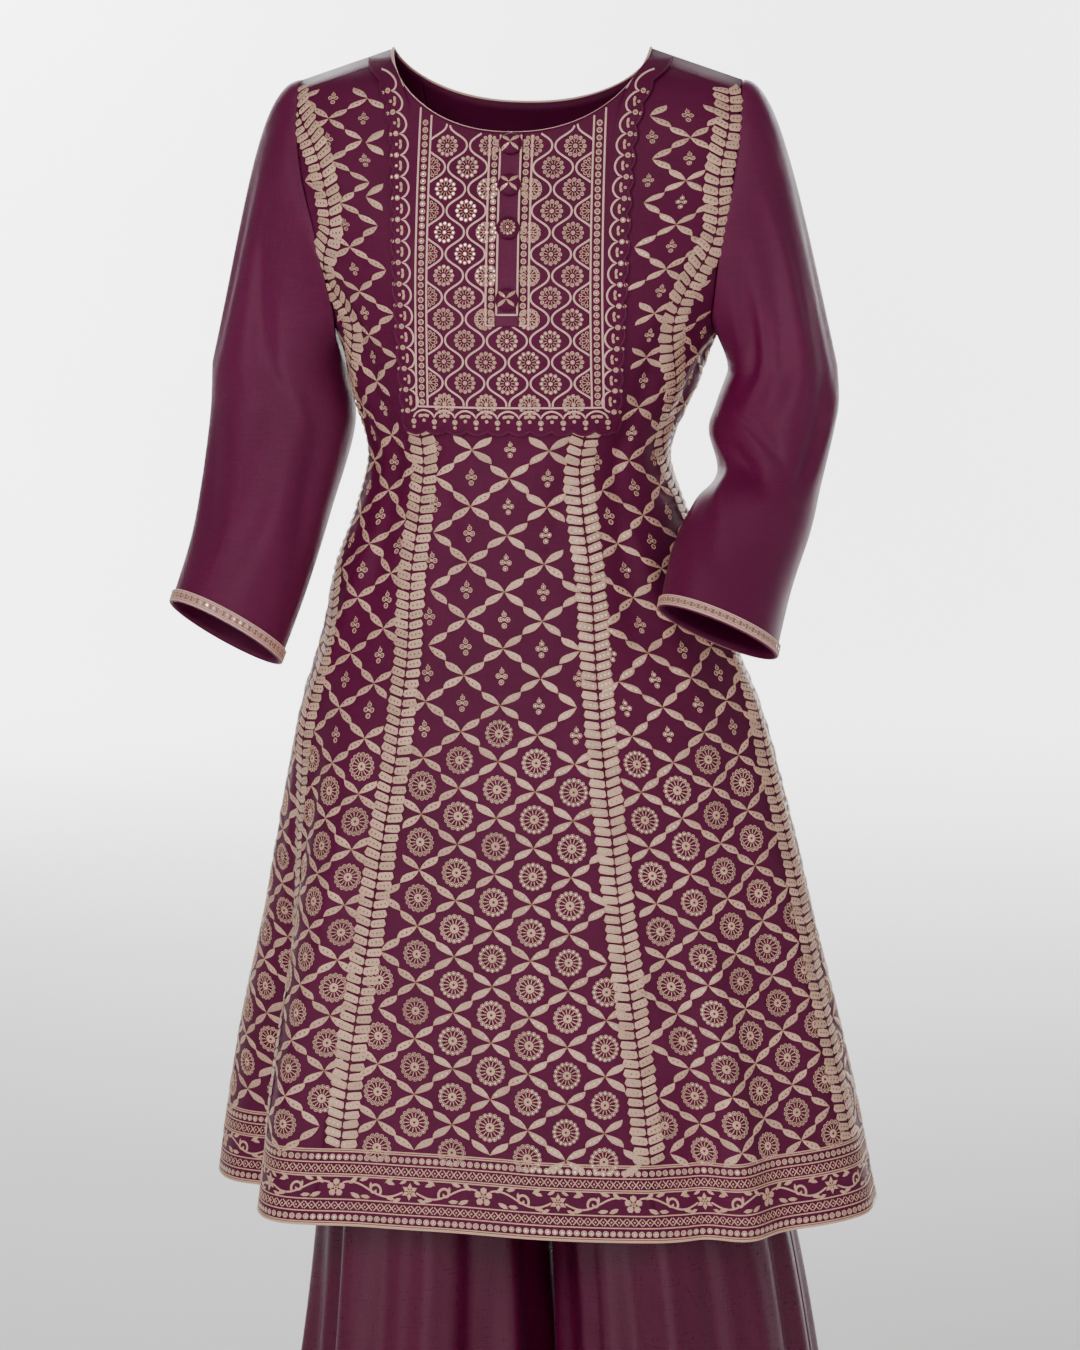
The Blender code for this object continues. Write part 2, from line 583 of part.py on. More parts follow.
def sleeve_point(hand, angle, along):
    point = sleeve_form(hand, angle, along)
    step = 0.5
    round_way = sleeve_form(hand, angle + step, along) - sleeve_form(hand, angle - step, along)
    down_way = sleeve_form(hand, angle, np.minimum(along + SLEEVE_STEP, 1)) - sleeve_form(
        hand, angle, np.maximum(along - SLEEVE_STEP, 0))
    side = -1.0 if hand == "left" else 1.0
    normal = unit(np.cross(round_way, down_way)) * side
    return point + normal * sleeve_fold(hand, np.asarray(angle) % 360, along)[..., None]


def sleeve_normals(hand, angle, along):
    round_way = sleeve_point(hand, angle + 1.0, along) - sleeve_point(hand, angle - 1.0, along)
    down_way = sleeve_point(hand, angle, np.minimum(along + SLEEVE_STEP, 1)) - sleeve_point(
        hand, angle, np.maximum(along - SLEEVE_STEP, 0))
    side = -1.0 if hand == "left" else 1.0
    return unit(np.cross(round_way, down_way)) * side


def sleeve_columns(hand, count):
    """Angles round a sleeve, anticlockwise seen from above."""
    angles = np.arange(count) * 360.0 / count
    return angles if hand == "left" else angles[::-1]


def build_sleeves(collection):
    for hand in ("left", "right"):
        below = 9 if hand == "left" else 11
        along = np.concatenate([np.linspace(0, CAP_SHARE, 7), np.linspace(CAP_SHARE, 1, below)[1:]])
        angle, row = np.meshgrid(sleeve_columns(hand, 2 * ARMHOLE_STEPS), along)
        points = sleeve_point(hand, angle, row)
        normals = sleeve_normals(hand, angle, row)
        even = unit(2 * normals + np.roll(normals, 1, axis=1) + np.roll(normals, -1, axis=1))
        inner = points - even * PLAIN_WALL
        add_seamed_panel(f"sleeve_{hand}", points, inner, "wine_plain", collection, wraps=True)
        build_cuff_trim(hand, collection)


def build_cuff_trim(hand, collection):
    """The trim at the sleeve's end, made from the sleeve's points, moved out."""
    angles = sleeve_columns(hand, 4 * ARMHOLE_STEPS)
    ends, near = np.ones_like(angles), np.full_like(angles, 1 - SLEEVE_STEP)
    end_run = sleeve_point(hand, angles, ends) - sleeve_point(hand, angles, near)
    length = np.linalg.norm(end_run, axis=-1) / SLEEVE_STEP
    along = 1 - np.outer(CUFF_TRIM_ROWS, CUFF_TRIM_WIDTH / length)
    angle = np.broadcast_to(angles, along.shape)
    lift = CUFF_TRIM_LIFT + CUFF_TRIM_WALL
    points = sleeve_point(hand, angle, along) + sleeve_normals(hand, angle, along) * lift
    add_sheet(f"cuff_trim_{hand}", points, CUFF_TRIM_WALL, "rose_gold_trim", collection, wraps=True)


def sharara_value(z, column):
    return smooth_value(z, SHARARA_SECTIONS["z"], SHARARA_SECTIONS[column])


def sharara_point(side, face, u, row):
    """One leg piece: u from 0 at the outer seam to 1 at the inner, row from 0 at the waist to 1 at
    the hem. Above the crotch it is a quarter of the hip ring, below it half of the leg's ring."""
    u, row = np.broadcast_arrays(np.asarray(u, float), np.asarray(row, float))
    z = WAIST_Z + (SHARARA_HEM_Z - WAIST_Z) * row
    forward = -1.0 if face == "front" else 1.0
    half = sharara_value(z, "hip_half_width")
    depth = sharara_value(z, face)
    down = np.clip((WAIST_Z - z) / (WAIST_Z - CROTCH_Z), 0, 1)
    parted = 1 - np.sqrt(1 - down**2)
    hip_turn = np.radians(90 * u)
    leg_turn = np.radians(180 * u)
    leg_half = (half - LEG_GAP / 2) / 2
    hip_x, hip_y = half * np.cos(hip_turn), depth * np.sin(hip_turn)
    leg_x = LEG_GAP / 2 + leg_half * (1 + np.cos(leg_turn))
    leg_y = depth * np.sin(leg_turn)
    x = hip_x * (1 - parted) + leg_x * parted
    y = hip_y * (1 - parted) + leg_y * parted
    start = LEG_FLUTE_TOP_Z[face]
    grown = smooth_step((start - z) / (start - SHARARA_HEM_Z))
    round_leg = leg_turn if face == "front" else 2 * math.pi - leg_turn
    wave = np.cos(LEG_FLUTES * round_leg + LEG_FLUTE_PHASE["right" if side > 0 else "left"])
    outer_calm, inner_calm = LEG_CALM
    calm = smooth_step(u / outer_calm) * smooth_step((1 - u) / inner_calm)
    away = unit(np.stack([np.cos(leg_turn) / leg_half, np.sin(leg_turn) / depth], -1))
    swell = (LEG_FLUTE_DEPTH * grown * wave * calm)[..., None] * away
    y = forward * (y + swell[..., 1])
    x = side * (x + swell[..., 0]) + sharara_value(z, "shift") + LEG_LEAN * parted * y
    return np.stack([x, y, z], -1)


def build_sharara(collection):
    rows = np.concatenate([np.linspace(0.03, 0.31, 5), np.linspace(0.31, 1, 7)[1:]])
    for face, forward in (("front", -1), ("back", 1)):
        for hand, side in (("left", -1), ("right", 1)):
            handed = side * forward
            across = np.linspace(0, 1, 17)[::handed]
            u, row = np.meshgrid(across, rows)
            points = sharara_point(side, face, u, row)
            normals = form_normals(
                lambda a, b, s=side, f=face: sharara_point(s, f, a, b),
                u, row, (0.0005, 0.9995), (0.0, 1.0), handed)
            draw_in(points, "first_column")
            draw_in(points, "last_column")
            inner = points - normals * PLAIN_WALL
            add_seamed_panel(f"sharara_{face}_{hand}", points, inner, "wine_satin", collection)


def build_waistband(collection):
    """The sharara's band, which stands over the top edge of the four leg pieces."""
    turn, z = np.meshgrid(
        np.radians(np.arange(40) * 9.0),
        WAIST_Z - np.linspace(-0.004, WAISTBAND_HEIGHT, 4),
    )
    lift = WAISTBAND_LIFT + WAISTBAND_WALL
    half = sharara_value(z, "hip_half_width") + lift
    depth = np.where(np.sin(turn) < 0, sharara_value(z, "front"), sharara_value(z, "back")) + lift
    points = np.stack([half * np.cos(turn) + sharara_value(z, "shift"), depth * np.sin(turn), z], -1)
    add_sheet("sharara_waistband", points, WAISTBAND_WALL, "wine_satin", collection, wraps=True)


def main():
    for existing in list(bpy.data.objects):
        bpy.data.objects.remove(existing)
    collection = bpy.data.collections.new("sharara_suit")
    bpy.context.scene.collection.children.link(collection)
    build_kurta_body(collection)
    build_yoke(collection)
    build_placket(collection)
    build_buttons(collection)
    build_sleeves(collection)
    build_sharara(collection)
    build_waistband(collection)


main()
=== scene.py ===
import math

import bpy
import numpy as np
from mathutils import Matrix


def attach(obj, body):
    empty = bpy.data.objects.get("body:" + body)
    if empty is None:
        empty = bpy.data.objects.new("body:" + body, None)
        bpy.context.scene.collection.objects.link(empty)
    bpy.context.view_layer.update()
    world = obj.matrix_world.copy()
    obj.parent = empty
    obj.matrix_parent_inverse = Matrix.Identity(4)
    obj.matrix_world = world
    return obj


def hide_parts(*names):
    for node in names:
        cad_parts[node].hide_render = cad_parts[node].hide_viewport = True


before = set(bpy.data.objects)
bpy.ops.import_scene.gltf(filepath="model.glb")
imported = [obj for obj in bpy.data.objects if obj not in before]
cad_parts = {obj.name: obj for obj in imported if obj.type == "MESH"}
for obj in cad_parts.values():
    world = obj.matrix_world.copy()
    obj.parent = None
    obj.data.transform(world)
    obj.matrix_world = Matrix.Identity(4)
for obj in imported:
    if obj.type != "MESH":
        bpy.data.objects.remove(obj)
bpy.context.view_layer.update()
print("frame loaded")

# the form, the same numbers as the CAD part: metres, +Z up, the front faces -Y, left is the viewer's

kurta = {  # rings of the kurta's form, and how far the panels are turned round it, in degrees
    "z": (0.0, -0.027, -0.050, -0.083, -0.125, -0.180, -0.240, -0.290, -0.350, -0.391,
          -0.443, -0.512, -0.565, -0.652, -0.756, -0.870, -1.000),
    "half": (0.111, 0.190, 0.207, 0.218, 0.214, 0.196, 0.1655, 0.150, 0.131, 0.142,
             0.163, 0.182, 0.201, 0.223, 0.245, 0.270, 0.293),
    "front": (0.022, 0.056, 0.074, 0.090, 0.106, 0.119, 0.125, 0.120, 0.108, 0.109,
              0.113, 0.119, 0.124, 0.130, 0.138, 0.146, 0.156),
    "back": (0.022, 0.050, 0.064, 0.077, 0.088, 0.097, 0.099, 0.094, 0.086, 0.090,
             0.100, 0.112, 0.121, 0.132, 0.144, 0.156, 0.168),
    "shift": (0.0, 0.0, 0.0, 0.0, 0.001, 0.003, 0.004, 0.001, -0.002, -0.001,
              0.001, 0.005, 0.007, 0.010, 0.014, 0.018, 0.023),
    "turn": (0, 0, 0, 0, 0, 0, 0, 0, 0, -1, -2.5, -4, -5, -6, -7, -7.5, -8),
    "length": 1.000, "ringZ": -0.290, "neckHalf": 0.111, "neckDepth": {"front": 0.072, "back": 0.046},
    "neckPower": 2.2, "neckRoot": 1.6, "neckEnd": 0.47, "shoulderEnd": 0.72, "seamEase": 2.0,
    "hemDrop": 0.011, "hemDropAngle": 38, "hemDropWidth": 38, 
}
panelSeam = {"row": (0.0, 1.0, 1.15, 1.45, 2.0), "u": (0.30, 0.36, 0.355, 0.285, 0.330)}
armhole = {
    "share": (0.0, 0.07, 0.20, 0.40, 0.60, 0.80, 0.93, 1.0),
    "x": (0.190, 0.1893, 0.1885, 0.184, 0.174, 0.1655, 0.1618, 0.1655),
    "z": (-0.027, -0.034, -0.068, -0.110, -0.155, -0.205, -0.233, -0.240),
}
flutes = {  # folds of the skirt: where round the hem, how wide in degrees, how far out, and their top
    "angle": (-74, -44, -24, 1, 31, 38, 48, 70, 84, 104, 122, 141, 160, 180, 199, 215, 248),
    "width": (14, 12, 10, 12, 4.5, 5.5, 7, 11, 9, 9, 10, 9, 10, 9, 10, 9, 13),
    "out": (-0.050, 0.036, 0.008, 0.004, -0.011, 0.012, -0.006, 0.006, -0.004, -0.010, 0.013,
            -0.008, 0.011, -0.010, 0.010, -0.012, 0.030),
    "top": (-0.50, -0.52, -0.60, -0.60, -0.62, -0.62, -0.64, -0.52, -0.50, -0.50, -0.48, -0.50,
            -0.50, -0.46, -0.50, -0.50, -0.50),
}


def smoothValue(at, keys, values):  # a cubic through a table's rows, slopes from the neighbours
    keys, values = np.asarray(keys, float), np.asarray(values, float)
    if keys[0] > keys[-1]:
        keys, values = keys[::-1], values[::-1]
    slopes = np.gradient(values, keys)
    at = np.clip(np.asarray(at, float), keys[0], keys[-1])
    i = np.clip(np.searchsorted(keys, at) - 1, 0, len(keys) - 2)
    span = keys[i + 1] - keys[i]
    t = (at - keys[i]) / span
    start = (1 + 2 * t) * (1 - t) ** 2 * values[i] + t * (1 - t) ** 2 * span * slopes[i]
    return start + t * t * (3 - 2 * t) * values[i + 1] + t * t * (t - 1) * span * slopes[i + 1]


def smoothStep(value):
    value = np.clip(value, 0.0, 1.0)
    return value * value * (3 - 2 * value)


def unit(vectors):
    return vectors / np.maximum(np.linalg.norm(vectors, axis=-1, keepdims=True), 1e-12)


def kurtaValue(z, column):  # the shoulder seam is straight above the shoulder tip
    value = smoothValue(z, kurta["z"], kurta[column])
    if column != "half":
        return value
    tipX, tipZ = armhole["x"][0], armhole["z"][0]
    straight = kurta["neckHalf"] + (tipX - kurta["neckHalf"]) * np.clip(z / tipZ, 0, 1)
    return np.where(z > tipZ, straight, value)


def levelZ(angle, level):  # level 0 at the shoulders, 1 at the bust ring, 2 at the hem
    away = (angle - kurta["hemDropAngle"] + 180) % 360 - 180
    hemZ = -kurta["length"] - kurta["hemDrop"] * np.exp(-((away / kurta["hemDropWidth"]) ** 2))
    ringZ = kurta["ringZ"]
    return np.where(level <= 1, ringZ * level, ringZ + (hemZ - ringZ) * (level - 1))


def clothPoint(angle, level):
    return clothForm(angle, level, creaseDepth(angle, level))


def clothForm(angle, level, out=0.0):
    # an ellipse at each height, half width by front or back depth, moved out by the flutes
    # along the ellipse's own normal; the angle is 0 at the centre front and grows to the right
    angle, level = np.broadcast_arrays(np.asarray(angle, float), np.asarray(level, float))
    z = levelZ(angle, level)
    turned = angle + kurtaValue(z, "turn")
    theta = np.radians(turned)
    half = kurtaValue(z, "half")
    depth = np.where(np.cos(theta) > 0, kurtaValue(z, "front"), kurtaValue(z, "back"))
    for centre, width, reach, top in zip(*(flutes[c] for c in ("angle", "width", "out", "top"))):
        away = (turned - centre + 180) % 360 - 180
        grown = smoothStep((top - z) / (top + kurta["length"]))
        out = out + reach * grown * np.exp(-((away / width) ** 2))
    away = unit(np.stack([np.sin(theta) / half, -np.cos(theta) / depth], -1)) * out[..., None]
    x = half * np.sin(theta) + away[..., 0] + kurtaValue(z, "shift")
    return np.stack([x, -depth * np.cos(theta) + away[..., 1], z], -1)

creases = {  # from angle, from level, to angle, to level, width and depth of each
    "perDegree": 0.0031, "upper": 0.29, "lower": 0.71, "ripple": 0.0006,
    "lines": [
        (-62, 0.55, -40, 1.30, 0.016, -0.0035), (52, 0.60, 36, 1.35, 0.015, -0.0035),
        (40, 1.10, 62, 1.45, 0.014, 0.0030), (-48, 1.12, -70, 1.50, 0.015, 0.0030),
        (31, 1.70, 33, 2.02, 0.008, -0.0035), (44, 1.62, 41, 1.95, 0.009, -0.0030),
        (-8, 1.35, -12, 1.90, 0.014, 0.0022), (14, 1.30, 18, 1.85, 0.013, -0.0022),
        (-36, 1.45, -38, 1.98, 0.010, 0.0028), (-52, 1.40, -54, 1.98, 0.012, -0.0034),
        (-70, 1.30, -78, 1.95, 0.012, 0.0026), (60, 1.35, 66, 1.95, 0.012, -0.0028),
        (78, 1.20, 92, 1.90, 0.013, 0.0028), (4, 1.55, 3, 1.98, 0.010, -0.0018),
        (120, 0.45, 148, 1.05, 0.016, -0.0035), (-120, 0.45, -146, 1.05, 0.016, -0.0032),
        (150, 1.02, 168, 1.30, 0.014, 0.0030), (-150, 1.05, -170, 1.34, 0.014, 0.0028),
        (178, 0.70, 176, 1.20, 0.016, -0.0030), (130, 1.30, 126, 1.95, 0.013, -0.0030),
        (165, 1.40, 168, 1.98, 0.013, 0.0026), (-165, 1.35, -168, 1.95, 0.013, -0.0026),
        (-130, 1.30, -127, 1.96, 0.013, 0.0028), (-105, 1.30, -104, 1.95, 0.012, -0.0028),
        (105, 1.15, 108, 1.80, 0.012, -0.0026), (24, 1.08, 12, 1.22, 0.011, -0.0022),
        (-24, 1.10, -12, 1.24, 0.011, -0.0022), (-85, 0.80, -60, 1.12, 0.013, -0.0028),
        (86, 0.82, 62, 1.10, 0.013, -0.0028),
    ],
}



def creaseDepth(angle, level):
    # each crease is a soft trough or ridge along a line, narrow and faded towards both ends;
    # angle and level are unrolled to metres first
    x = angle * creases["perDegree"]
    y = np.where(level <= 1, creases["upper"] * level, creases["upper"] + creases["lower"] * (level - 1))
    depth = creases["ripple"] * np.sin(x * 46 + 1.7 * np.sin(y * 17)) * np.sin(y * 23 + 1.3 * np.sin(x * 19))
    for fromAngle, fromLevel, toAngle, toLevel, width, out in creases["lines"]:
        ax, bx = fromAngle * creases["perDegree"], toAngle * creases["perDegree"]
        ay, by = (creases["upper"] * v if v <= 1 else creases["upper"] + creases["lower"] * (v - 1)
                  for v in (fromLevel, toLevel))
        length = math.hypot(bx - ax, by - ay)
        along = ((x - ax) * (bx - ax) + (y - ay) * (by - ay)) / length**2
        bend = 0.12 * width * np.sin(along * 9 + fromAngle)
        away = ((x - ax) * (by - ay) - (y - ay) * (bx - ax)) / length + bend
        fade = smoothStep(along / 0.22) * smoothStep((1 - along) / 0.22)
        depth = depth + out * fade * np.exp(-((away / width) ** 2))
    return depth


def topEdge(u, face):
    # where each column of a panel starts: on the neckline, then the shoulder seam, then the armhole
    w = np.abs(u)
    inside = np.sin(math.pi / 2 * np.clip(w / kurta["neckEnd"], 0, 1))
    neckZ = -kurta["neckDepth"][face] * (1 - inside ** kurta["neckPower"]) ** (1 / kurta["neckRoot"])
    along = np.clip((w - kurta["neckEnd"]) / (kurta["shoulderEnd"] - kurta["neckEnd"]), 0, 1)
    seamX = kurta["neckHalf"] + (armhole["x"][0] - kurta["neckHalf"]) * along
    share = np.clip((w - kurta["shoulderEnd"]) / (1 - kurta["shoulderEnd"]), 0, 1)
    parts = [w <= kurta["neckEnd"], w <= kurta["shoulderEnd"]]
    x = np.select(parts, [kurta["neckHalf"] * inside, seamX], smoothValue(share, armhole["share"], armhole["x"]))
    z = np.select(parts, [neckZ, armhole["z"][0] * along], smoothValue(share, armhole["share"], armhole["z"]))
    return x, z


def panelPlace(face, u, row):
    # u and row of a panel, row 0 at its top edge, 1 at the bust ring and 2 at the hem, to angle and level
    u, row = np.broadcast_arrays(np.asarray(u, float), np.asarray(row, float))
    topX, topZ = topEdge(u, face)
    up = np.clip(row, 0, 1)
    z = topZ + (kurta["ringZ"] - topZ) * up
    settle = 1 - (1 - up) ** kurta["seamEase"]
    ringHalf = float(kurtaValue(kurta["ringZ"], "half"))
    column = topX * (1 - settle) + ringHalf * np.sin(np.radians(90 * np.abs(u))) * settle
    side = armhole["x"][-1] * (1 - settle) + ringHalf * settle
    spare = kurtaValue(armhole["z"][-1] + (kurta["ringZ"] - armhole["z"][-1]) * up, "half") - side
    share = np.clip((np.abs(u) - kurta["shoulderEnd"]) / (1 - kurta["shoulderEnd"]), 0, 1)
    x = np.sign(u) * (column + spare * share**2)
    around = np.degrees(np.arcsin(np.clip(x / kurtaValue(z, "half"), -1, 1)))
    around = np.where(row <= 1, around, 90 * u)
    return around if face == "front" else 180 - around, np.where(row <= 1, z / kurta["ringZ"], row)


def placeAt(x, z):
    # the front of the kurta as a height field: x and z to angle and level
    local = (x - kurtaValue(z, "shift")) / kurtaValue(z, "half")
    angle = np.degrees(np.arcsin(np.clip(local, -1, 1))) - kurtaValue(z, "turn")
    away = (angle - kurta["hemDropAngle"] + 180) % 360 - 180
    hemZ = -kurta["length"] - kurta["hemDrop"] * np.exp(-((away / kurta["hemDropWidth"]) ** 2))
    ringZ = kurta["ringZ"]
    return angle, np.where(z >= ringZ, z / ringZ, 1 + (z - ringZ) / (hemZ - ringZ))


def clothNormal(angle, level):
    # the cross product of the steps down and round the cloth
    down = clothPoint(angle, level + 0.003) - clothPoint(angle, level - 0.003)
    across = clothPoint(angle + 0.4, level) - clothPoint(angle - 0.4, level)
    return unit(np.cross(down, across))


def onCloth(angle, level, lift):
    return clothPoint(angle, level) + clothNormal(angle, level) * np.asarray(lift)[..., None]


sleeves = {  # rings below each cap; roll lifts the outer edge and pitch the front edge
    "left": {
        "x": (-0.2140, -0.2115, -0.2240, -0.2350, -0.2525),
        "y": (0.018, 0.012, -0.008, -0.030, -0.055),
        "z": (-0.275, -0.321, -0.391, -0.443, -0.502),
        "halfWidth": (0.0600, 0.0640, 0.0580, 0.0545, 0.0525),
        "halfDepth": (0.056, 0.053, 0.050, 0.048, 0.048),
        "roll": (4, 4, 8, 14, 27),
        "pitch": (0, 2, 8, 15, 22),
    },
    "right": {
        "x": (0.2250, 0.2210, 0.2165, 0.2160, 0.2035, 0.1880, 0.1785),
        "y": (0.003, -0.004, -0.012, -0.034, -0.060, -0.095, -0.140),
        "z": (-0.275, -0.304, -0.327, -0.366, -0.396, -0.438, -0.487),
        "halfWidth": (0.0480, 0.0535, 0.0540, 0.0450, 0.0510, 0.0530, 0.0525),
        "halfDepth": (0.056, 0.054, 0.052, 0.050, 0.050, 0.049, 0.047),
        "roll": (4, 2, 0, -6, -12, -17, -21.5),
        "pitch": (0, 2, 6, 14, 22, 24, 20),
    },
}
sleeveCap = {"share": 0.36, "reach": {"left": 0.108, "right": 0.092}, "ease": 0.0007,
             "land": (0.22, -0.97), "innerLeave": (0.006, -0.030), "landReach": (0.035, 0.40)}
# folds: angle at the start and end (0 outer, 90 front, 180 inner), stretch along, width in degrees, depth
sleeveFolds = {
    "left": [
        (62, 118, 0.10, 0.62, 15, -0.0055), (112, 150, 0.30, 0.95, 13, -0.0045),
        (25, 60, 0.40, 0.98, 16, -0.0035), (300, 250, 0.15, 0.70, 18, -0.0050),
        (215, 240, 0.45, 0.95, 15, -0.0045),
        (48, 92, 0.06, 0.50, 8, -0.0030), (80, 128, 0.16, 0.66, 7, 0.0022),
        (100, 86, 0.52, 0.92, 10, -0.0028), (30, 22, 0.10, 0.44, 9, -0.0026),
        (330, 300, 0.20, 0.80, 10, -0.0028), (70, 74, 0.66, 1.02, 9, 0.0020),
    ],
    "right": [
        (78, 95, 0.08, 0.60, 12, -0.0055), (110, 128, 0.05, 0.50, 12, -0.0060),
        (30, 45, 0.15, 0.85, 14, -0.0045), (150, 75, 0.55, 0.80, 13, -0.0060),
        (175, 95, 0.68, 0.95, 12, -0.0045), (300, 260, 0.12, 0.62, 18, -0.0050),
        (230, 250, 0.50, 0.95, 15, -0.0045),
        (58, 66, 0.05, 0.48, 8, 0.0026), (92, 112, 0.14, 0.56, 6, -0.0028),
        (140, 62, 0.46, 0.70, 8, -0.0030), (150, 110, 0.60, 0.88, 7, 0.0026),
        (20, 60, 0.50, 0.78, 9, -0.0030), (5, 20, 0.10, 0.50, 9, -0.0024),
    ],
}


def armholeLoop(side, angle):
    # the seam loop of a sleeve: 0 at the shoulder tip, 90 front, 180 underarm, 270 back
    front = angle <= 180
    u = side * (kurta["shoulderEnd"] + (1 - kurta["shoulderEnd"])
                * np.where(front, angle / 180, (360 - angle) / 180))
    zero = np.zeros_like(u)
    onFront, onBack = clothForm(*panelPlace("front", u, zero)), clothForm(*panelPlace("back", u, zero))
    return np.where(front[..., None], onFront, onBack) + np.array([side * sleeveCap["ease"], 0, 0])


def sleeveRing(hand, angle, station):
    # an ellipse turned by roll and pitch, with its centre and half sizes read between the rings
    table = sleeves[hand]
    side = -1.0 if hand == "left" else 1.0
    value = {name: smoothValue(station, np.arange(len(table["x"])), table[name]) for name in table}
    roll, pitch, turn = np.radians(value["roll"]), np.radians(value["pitch"]), np.radians(angle)
    zero = np.zeros_like(roll)
    across = np.stack([side * np.cos(roll), zero, np.sin(roll)], -1)
    ahead = np.stack([zero, -np.cos(pitch), np.sin(pitch)], -1)
    centre = np.stack([value["x"], value["y"], value["z"]], -1)
    return (centre + across * (value["halfWidth"] * np.cos(turn))[..., None]
            + ahead * (value["halfDepth"] * np.sin(turn))[..., None])


def sleeveForm(hand, angle, along):
    # a cubic cap from the armhole into the first ring, then the rings down to the cuff
    angle, along = np.broadcast_arrays(np.asarray(angle, float) % 360, np.asarray(along, float))
    side = -1.0 if hand == "left" else 1.0
    share = sleeveCap["share"]
    station = np.clip((along - share) / (1 - share), 0, 1) * (len(sleeves[hand]["x"]) - 1)
    start, end = armholeLoop(side, angle), sleeveRing(hand, angle, np.zeros_like(along))
    leaveTo = unit(sleeveRing(hand, angle, np.full_like(along, 0.05)) - end)
    outer = ((1 + np.cos(np.radians(angle))) / 2)[..., None]
    landX, landZ = sleeveCap["land"]
    leaveTo = unit(leaveTo * (1 - outer) + np.array([side * landX, 0, landZ]) * outer)
    innerX, innerZ = sleeveCap["innerLeave"]
    leave = (outer * np.array([side * sleeveCap["reach"][hand], 0, 0])
             + (1 - outer) * np.array([side * innerX, 0, innerZ]))
    reach, moreReach = sleeveCap["landReach"]
    arrive = leaveTo * (reach + moreReach * outer**1.5)
    t = np.clip(along / share, 0, 1)[..., None]
    cap = ((1 + 2 * t) * (1 - t) ** 2 * start + t * (1 - t) ** 2 * leave
           + t * t * (3 - 2 * t) * end + t * t * (t - 1) * arrive)
    return np.where(along[..., None] < share, cap, sleeveRing(hand, angle, station))


def sleeveTurn(point, hand, angle, along, step):
    # outward unit normals from the steps round and down the sleeve
    roundWay = point(hand, angle + step, along) - point(hand, angle - step, along)
    downWay = point(hand, angle, np.minimum(along + 0.01, 1)) - point(hand, angle, np.maximum(along - 0.01, 0))
    return unit(np.cross(roundWay, downWay)) * (-1.0 if hand == "left" else 1.0)


def sleevePoint(hand, angle, along):
    # the sleeve's form, moved in or out along its normal by the folds
    depth = np.zeros(np.broadcast(angle, along).shape)
    for fromAngle, toAngle, start, end, width, out in sleeveFolds[hand]:
        share = np.clip((along - start) / (end - start), 0, 1)
        away = (angle - (fromAngle + (toAngle - fromAngle) * share) + 180) % 360 - 180
        depth = depth + out * np.sin(math.pi * share) ** 2 * np.exp(-((away / width) ** 2))
    return sleeveForm(hand, angle, along) + sleeveTurn(sleeveForm, hand, angle, along, 0.5) * depth[..., None]


sharara = {  # rings of the trousers: the hip above the crotch and each leg below it
    "z": (-0.420, -0.500, -0.600, -0.730, -0.900, -1.067, -1.250, -1.420),
    "half": (0.122, 0.140, 0.157, 0.170, 0.187, 0.209, 0.232, 0.256),
    "front": (0.088, 0.094, 0.099, 0.102, 0.112, 0.122, 0.140, 0.158),
    "back": (0.0893, 0.097, 0.104, 0.108, 0.120, 0.132, 0.150, 0.168),
    "shift": (0.0, 0.002, 0.006, 0.012, 0.022, 0.034, 0.040, 0.044),
    "waistZ": -0.420, "crotchZ": -0.730, "hemZ": -1.420, "legGap": 0.006, "legLean": 0.20,
    "flutes": 9, "fluteDepth": 0.009, "phase": {"left": 2.2, "right": 0.6},
    "fluteTop": {"front": -0.62, "back": -0.58}, "calm": (0.12, 0.3),
    "fineFolds": 15, "fineDepth": 0.0052,
}


